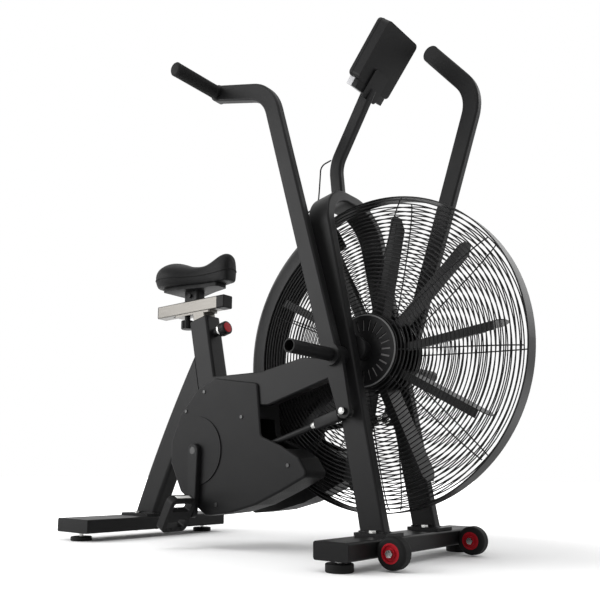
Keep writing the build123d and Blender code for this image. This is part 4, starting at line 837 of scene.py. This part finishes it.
class BIKE_OT_drive(BikeOperator, bpy.types.Operator):
    """Finish the drive covers, cranks and rods, and dress the pedals"""

    bl_idname = "bike.drive"
    bl_label = "Drive and Pedals"

    @staticmethod
    def rod_trim(word):
        """The square link behind a rod's front eye, and the bright washer on its bolt."""
        low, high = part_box("connecting_rod_" + word)
        side = -1.0 if word == "right" else 1.0
        points = [point.co for point in NODES["connecting_rod_" + word].data.vertices]
        ends = []
        for edge, reach in ((high.x, 1.0), (low.x, -1.0)):
            near = [point for point in points if abs(point.x - edge) < ROD_SLICE]
            middle = sum((point.copy() for point in near), Vector()) / len(near)
            ends.append(Vector((edge - reach * ROD_EYE, middle.y, middle.z)))
        front, rear = ends
        along = (rear - front).normalized()
        upward = (Vector((0.0, 0.0, 1.0)) - along * along.z).normalized()
        beside = upward.cross(along)
        link = slab("rod_link", front + along * LINK_PLACE, (along, beside, upward), LINK_SIZE, LINK_EDGE)
        add_piece("rod_link_" + word, link, "powder_coat", "rod_" + word)
        collar = turned("rod_collar", front + along * COLLAR_PLACE, along, COLLAR_PROFILE, steps=24)
        add_piece("rod_collar_" + word, collar, "bright", "rod_" + word)
        bolt = Vector((front.x, side * CAP_FACE, front.z))
        cap = turned("rod_bolt_cap", bolt, ACROSS * side, CAP_PROFILE, steps=32)
        add_piece("rod_bolt_cap_" + word, cap, "bright", "swing_arm_" + word)

    @staticmethod
    def pedal_trim(word):
        """White reflectors on the ends and rows of tread studs on both faces of a pedal."""
        low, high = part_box("pedal_" + word)
        middle = (low + high) / 2
        long = upright_turn(1.0, 0.0, PEDAL_TILT)
        up = upright_turn(0.0, 1.0, PEDAL_TILT)
        body = "pedal_" + word + "_body"
        for end in (-1, 1):
            place = middle + long * end * REFLECTOR_OUT
            mesh = slab("reflector", place, (long, ACROSS, up), REFLECTOR_SIZE, REFLECTOR_EDGE)
            name = "pedal_reflector_%s_%s" % (word, "front" if end > 0 else "rear")
            add_piece(name, mesh, "white_reflector", body)
        for face in (-1, 1):
            for end in (-1, 1):
                for step in range(STUDS):
                    place = middle + long * end * STUD_OUT + up * face * STUD_RISE
                    place = place + ACROSS * (step - (STUDS - 1) / 2) * STUD_PITCH
                    mesh = turned("stud", place, up * face, STUD_PROFILE, steps=16)
                    name = "pedal_stud_%s_%d%d%d" % (word, face > 0, end > 0, step)
                    add_piece(name, mesh, "moulded", body)

    def execute(self, context):
        dress("moulded", "drive_cover_right", "drive_cover_left", "drive_cover_backs", "pedal_right",
              "pedal_left")
        dress("bright", "crank_bearings", "crank_pulley")
        dress("dark_screw", "cover_screws", "crank_axle")
        dress("rod_right", "connecting_rod_right")
        dress("rod_left", "connecting_rod_left")
        dress("powder_coat", "crank_arm_right", "crank_arm_left")
        dress("rubber", "drive_belt")
        for word in ("right", "left"):
            self.pedal_trim(word)
            self.rod_trim(word)
        return {"FINISHED"}


class BIKE_OT_swing_arms(BikeOperator, bpy.types.Operator):
    """Finish the swing arms and foot pegs and turn the ribbed grips"""

    bl_idname = "bike.swing_arms"
    bl_label = "Swing Arms"

    @staticmethod
    def grip(word, sizes):
        """A rubber grip with a collar, ribs and a domed end."""
        low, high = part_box("grip_" + word)
        side = -1.0 if word == "right" else 1.0
        radius = (high.z - low.z) / 2
        length = high.y - low.y
        root = Vector(((low.x + high.x) / 2, high.y if side < 0 else low.y, (low.z + high.z) / 2))
        valley, crest = radius - sizes.grip_depth, radius - RIB_DROP
        profile = [(0.0, GRIP_BORE), (0.0, radius - 0.0015), (0.0012, radius), (GRIP_COLLAR, radius)]
        reach = RIB_START
        while reach < length - RIB_END:
            profile += [(reach, valley), (reach + sizes.grip_pitch * 0.35, valley),
                        (reach + sizes.grip_pitch * 0.55, crest), (reach + sizes.grip_pitch * 0.85, crest)]
            reach += sizes.grip_pitch
        profile += [(length - 0.010, radius), (length - 0.004, radius), (length - 0.001, radius - 0.0025),
                    (length, radius - 0.0060)]
        mesh = turned("ribbed_grip_" + word, root, ACROSS * side, profile, steps=56)
        piece = add_piece("ribbed_grip_" + word, mesh, "rubber", "swing_arm_" + word)
        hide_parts("grip_" + word)

    def execute(self, context):
        dress("powder_coat", "arm_right", "arm_left")
        dress("moulded", "foot_pegs")
        for word in ("right", "left"):
            self.grip(word, context.scene.bike_sizes)
        return {"FINISHED"}


class BIKE_OT_seat(BikeOperator, bpy.types.Operator):
    """Finish the post, rail and knobs and swell the saddle"""

    bl_idname = "bike.seat"
    bl_label = "Seat"

    @staticmethod
    def shrunken_pad(name):
        """A slightly smaller copy of the saddle's solid."""
        mesh = NODES["saddle_pad"].data.copy()
        mesh.name = name
        low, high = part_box("saddle_pad")
        middle = (low + high) / 2
        for point in mesh.vertices:
            point.co.x = middle.x + (point.co.x - middle.x) * SADDLE_SHRINK.x
            point.co.y *= SADDLE_SHRINK.y
            point.co.z = SADDLE_FOOT + (point.co.z - SADDLE_FOOT) * SADDLE_SHRINK.z
        return mesh

    @staticmethod
    def apply_modifiers(piece):
        """Keeps what the modifiers show as the mesh itself."""
        graph = bpy.context.evaluated_depsgraph_get()
        mesh = bpy.data.meshes.new_from_object(piece.evaluated_get(graph))
        piece.modifiers.clear()
        piece.data = mesh

    def swell(self, piece, sizes):
        """Blows the cover up against its filling and caps how far it moves."""
        start = [point.co.copy() for point in piece.data.vertices]
        held = piece.vertex_groups.new(name="foot")
        foot = SADDLE_FOOT + HELD_BAND
        held.add([point.index for point in piece.data.vertices if point.co.z < foot], 1.0, "REPLACE")
        cloth = piece.modifiers.new("Cloth", "CLOTH")
        cloth.settings.use_pressure = True
        cloth.settings.uniform_pressure_force = sizes.pressure
        cloth.settings.vertex_group_mass = "foot"
        cloth.settings.effector_weights.gravity = 0.0
        cloth.settings.quality = CLOTH_QUALITY
        cloth.point_cache.frame_end = CLOTH_FRAMES
        scene = bpy.context.scene
        for moment in range(1, CLOTH_FRAMES + 1):
            scene.frame_set(moment)
        self.apply_modifiers(piece)
        scene.frame_set(1)
        for point, before in zip(piece.data.vertices, start):
            move = point.co - before
            if move.length > sizes.swell:
                move *= sizes.swell / move.length
            point.co = before + move
            point.co.z = max(point.co.z, SADDLE_FOOT)
        piece.vertex_groups.clear()

    def execute(self, context):
        sizes = context.scene.bike_sizes
        dress("moulded", "seat_sleeve", "rail_end_caps", "saddle_base", "pull_pin", "clamp_knob")
        dress("brushed_post", "seat_post")
        dress("brushed_long", "seat_rail")
        dress("powder_coat", "saddle_clamp")
        pad = bpy.data.objects.new("saddle", self.shrunken_pad("saddle"))
        context.scene.collection.objects.link(pad)
        weld = pad.modifiers.new("Weld", "WELD")
        weld.merge_threshold = SADDLE_WELD
        even = pad.modifiers.new("Remesh", "REMESH")
        even.mode = "VOXEL"
        even.voxel_size = sizes.voxel
        even.use_smooth_shade = True
        self.apply_modifiers(pad)
        if len(pad.data.vertices) < SADDLE_LEAST:
            raise RuntimeError("the saddle's mesh came out too coarse")
        self.swell(pad, sizes)
        soften = pad.modifiers.new("Smooth", "SMOOTH")
        soften.factor = 0.5
        soften.iterations = 6
        finer = pad.modifiers.new("Subdivision", "SUBSURF")
        finer.levels = finer.render_levels = 1
        self.apply_modifiers(pad)
        for face in pad.data.polygons:
            face.use_smooth = True
        pad.data.materials.clear()
        pad.data.materials.append(finish("hide"))
        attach(pad, "seat_slide")
        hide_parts("saddle_pad")
        self.welt(pad)
        self.knob_trim()
        return {"FINISHED"}

    @staticmethod
    def welt(pad):
        """The sewn edge where the cover meets the lower shell, laid on the swollen surface."""
        skin = BVHTree.FromPolygons(
            [point.co.copy() for point in pad.data.vertices],
            [face.vertices[:] for face in pad.data.polygons])
        low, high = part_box("saddle_pad")
        middle = (low.x + high.x) / 2
        long, wide = WELT_REACH
        points = []
        for step in range(WELT_POINTS):
            turn = 2 * math.pi * step / WELT_POINTS
            reach = Vector((middle + long * math.cos(turn), wide * math.sin(turn), 0.0))
            rise = SADDLE_FOOT + WELT_RISE + WELT_NOSE_LIFT * max(0.0, math.cos(turn)) ** 2
            spine = Vector((min(max(reach.x, low.x + WELT_ENDS[0]), high.x - WELT_ENDS[1]), 0.0, rise))
            aim = Vector((reach.x, reach.y, rise)) - spine
            hit = skin.ray_cast(spine, aim.normalized())[0]
            if hit is None:
                raise RuntimeError("the saddle's welt missed its cover")
            points.append(hit)
        curve = wire_curve("saddle_welt", [(points, True)], WELT_R, sides=2)
        add_piece("saddle_welt", curve, "rubber", "seat_slide")

    @staticmethod
    def knob_trim():
        """The red face and the bright collar of the pull knob."""
        root = SEAT_TOP - SEAT_UP * KNOB_DROP
        face = turned("knob_face", root + SEAT_OUT * KNOB_FACE_OUT, SEAT_OUT, KNOB_FACE)
        add_piece("pull_knob_face", face, "accent", "pull_pin_body")
        collar = turned("knob_collar", root + SEAT_OUT * KNOB_COLLAR_OUT, SEAT_OUT, KNOB_COLLAR, ring=True)
        add_piece("pull_knob_collar", collar, "bright", "pull_pin_body")


class BIKE_OT_console(BikeOperator, bpy.types.Operator):
    """Finish the console, its display and keys, and the sensor cable"""

    bl_idname = "bike.console"
    bl_label = "Console"

    def execute(self, context):
        dress("moulded", "console_housing")
        dress("display", "console_screen")
        dress("rubber", "console_key_right", "console_key_left", "sensor_cable")
        self.trim()
        return {"FINISHED"}

    @staticmethod
    def trim():
        """The foot of the housing with its pale front half, and the seam round the housing."""
        axes = (FACE_OUT, ACROSS, FACE_UP)
        under = FACE_MIDDLE - FACE_UP * FOOT_DROP
        for name, (back, size), look in (("pale", PALE_FOOT, "pale_tab"), ("dark", DARK_FOOT, "moulded")):
            mesh = slab(name + "_foot", under - FACE_OUT * back, axes, size, FOOT_EDGE)
            add_piece("console_%s_foot" % name, mesh, look, "frame")
        half_width, half_height = HOUSING_HALF
        points = []
        for quarter, (across, up) in enumerate(((1, 1), (-1, 1), (-1, -1), (1, -1))):
            for step in range(7):
                turn = math.radians(90.0 * quarter + 15.0 * step)
                y = across * (half_width - HOUSING_CORNER) + HOUSING_CORNER * math.cos(turn)
                rise = up * (half_height - HOUSING_CORNER) + HOUSING_CORNER * math.sin(turn)
                points.append(FACE_MIDDLE - FACE_OUT * SEAM_BACK + ACROSS * y + FACE_UP * rise)
        seam = wire_curve("console_seam", [(points, True)], SEAM_R, sides=2)
        add_piece("console_seam", seam, "cage_coat", "frame")


class BIKE_OT_stage(BikeOperator, bpy.types.Operator):
    """Lay the pale floor, hang the softboxes and set the camera"""

    bl_idname = "bike.stage"
    bl_label = "Studio"

    CAMERA = Vector((1.249890, -1.533415, 0.211244))
    YAW, PITCH, ROLL = math.radians(38.6603), math.radians(7.1182), math.radians(0.5007)
    SHIFT = 0.1353

    @staticmethod
    def softbox(name, place, target, size, power):
        """A large soft light aimed at a point."""
        light = bpy.data.lights.new(name, "AREA")
        light.shape = "RECTANGLE"
        light.size, light.size_y = size
        light.energy = power
        lamp = bpy.data.objects.new(name, light)
        lamp.location = place
        lamp.rotation_euler = (Vector(target) - Vector(place)).to_track_quat("-Z", "Y").to_euler()
        bpy.context.scene.collection.objects.link(lamp)

    @staticmethod
    def white_for_seen_rays(tree):
        """1 for what the camera, a reflection or glass sees, 0 for light on a surface."""
        path = tree.nodes.new("ShaderNodeLightPath")
        seen = math_node(tree, "MAXIMUM", path.outputs["Is Camera Ray"], path.outputs["Is Glossy Ray"])
        return math_node(tree, "MAXIMUM", seen, path.outputs["Is Transmission Ray"])

    def world(self, context, studio):
        """White where it is seen, softer as light."""
        room = bpy.data.worlds.new("studio_room")
        context.scene.world = room
        room.use_nodes = True
        tree = room.node_tree
        seen = self.white_for_seen_rays(tree)
        span = math_node(tree, "MULTIPLY", seen, 1.0 - studio.ambient)
        back = tree.nodes["Background"]
        back.inputs["Color"].default_value = (1.0, 1.0, 1.0, 1.0)
        tree.links.new(math_node(tree, "ADD", span, studio.ambient), back.inputs["Strength"])

    def floor_paint(self, colour):
        """Pale paint that runs out into the white of the room away from the bike."""
        material, tree, shader = new_material("floor_paint")
        coat = place_group(
            tree, "coat_grain", Color=solid_colour(colour), Patch_Color=solid_colour(colour, 1.02),
            Grain_Scale=60.0, Roughness=0.85, Spread=0.1)
        join_surface(tree, shader, coat.outputs["Color"], coat.outputs["Roughness"],
                     coat.outputs["Height"], 0.02, COAT_DEPTH)
        fade = tree.nodes.new("ShaderNodeMapRange")
        fade.interpolation_type = "SMOOTHSTEP"
        fade.inputs["From Min"].default_value = FADE_FROM
        fade.inputs["From Max"].default_value = FADE_TO
        tree.links.new(vector_node(tree, "LENGTH", object_place(tree)), fade.inputs["Value"])
        seen = math_node(tree, "MULTIPLY", fade.outputs["Result"], self.white_for_seen_rays(tree))
        glow = mix_colour(tree, seen, (0.0, 0.0, 0.0, 1.0), (1.0, 1.0, 1.0, 1.0))
        tree.links.new(glow, shader.inputs["Emission Color"])
        shader.inputs["Emission Strength"].default_value = 1.0
        return material

    def floor(self, studio):
        """A wide pale floor with a trace of mottle."""
        mesh = bpy.data.meshes.new("floor")
        corners = [(x * FLOOR_HALF, y * FLOOR_HALF, 0.0) for x, y in ((-1, -1), (1, -1), (1, 1), (-1, 1))]
        mesh.from_pydata(corners, [], [(0, 1, 2, 3)])
        floor = bpy.data.objects.new("floor", mesh)
        bpy.context.scene.collection.objects.link(floor)
        mesh.materials.append(self.floor_paint(studio.floor))

    def camera(self, context, studio):
        """The camera at the photograph's angle."""
        level = math.cos(self.PITCH)
        ahead = Vector((-math.sin(self.YAW) * level, math.cos(self.YAW) * level, math.sin(self.PITCH)))
        right = Vector((math.cos(self.YAW), math.sin(self.YAW), 0.0))
        up = right.cross(ahead)
        rolled = right * math.cos(self.ROLL) + up * math.sin(self.ROLL)
        raised = up * math.cos(self.ROLL) - right * math.sin(self.ROLL)
        turn = Matrix((rolled, raised, -ahead)).transposed().to_4x4()
        lens = bpy.data.cameras.new("camera")
        lens.sensor_width = 36.0
        lens.lens = studio.lens
        lens.shift_y = self.SHIFT
        lens.clip_start = 0.01
        camera = bpy.data.objects.new("camera", lens)
        camera.matrix_world = Matrix.Translation(self.CAMERA) @ turn
        context.scene.collection.objects.link(camera)
        context.scene.camera = camera

    def execute(self, context):
        studio = context.scene.bike_studio
        self.world(context, studio)
        self.floor(studio)
        self.softbox("key_softbox", (-2.2, -2.9, 1.7), AIM, (2.8, 2.4), studio.key)
        self.softbox("top_softbox", (0.3, -0.8, 3.4), AIM, (2.4, 2.0), studio.fill)
        self.softbox("rear_softbox", (1.0, 3.2, 2.2), AIM, (2.4, 2.0), studio.fill)
        self.camera(context, studio)
        context.scene.view_settings.view_transform = "Standard"
        return {"FINISHED"}


STEPS = (
    BIKE_OT_frame, BIKE_OT_floor_fittings, BIKE_OT_cage, BIKE_OT_fan, BIKE_OT_drive,
    BIKE_OT_swing_arms, BIKE_OT_seat, BIKE_OT_console, BIKE_OT_stage)


class BIKE_PT_dresser(bpy.types.Panel):
    """Lists the steps and the settings of the bike"""

    bl_idname = "BIKE_PT_dresser"
    bl_label = "Air Bike"
    bl_space_type = "VIEW_3D"
    bl_region_type = "UI"
    bl_category = "Air Bike"

    def draw(self, context):
        layout = self.layout
        for step in STEPS:
            layout.operator(step.bl_idname)
        for name, kind in SETTINGS.items():
            box = layout.box()
            for label in kind.__annotations__:
                box.prop(getattr(context.scene, name), label)


SETTINGS = {"bike_finish": BikeFinish, "bike_sizes": BikeSizes, "bike_studio": BikeStudio}
CLASSES = (*SETTINGS.values(), *STEPS, BIKE_PT_dresser)


def register():
    """Registers the classes and hangs the settings on the scene."""
    for item in CLASSES:
        bpy.utils.register_class(item)
    for name, kind in SETTINGS.items():
        setattr(bpy.types.Scene, name, PointerProperty(type=kind))


def unregister():
    """Takes the settings and the classes away again."""
    for name in SETTINGS:
        delattr(bpy.types.Scene, name)
    for item in reversed(CLASSES):
        bpy.utils.unregister_class(item)


def main():
    """Runs every step."""
    register()
    for step in STEPS:
        group, action = step.bl_idname.split(".")
        getattr(getattr(bpy.ops, group), action)()


if __name__ == "__main__":
    main()
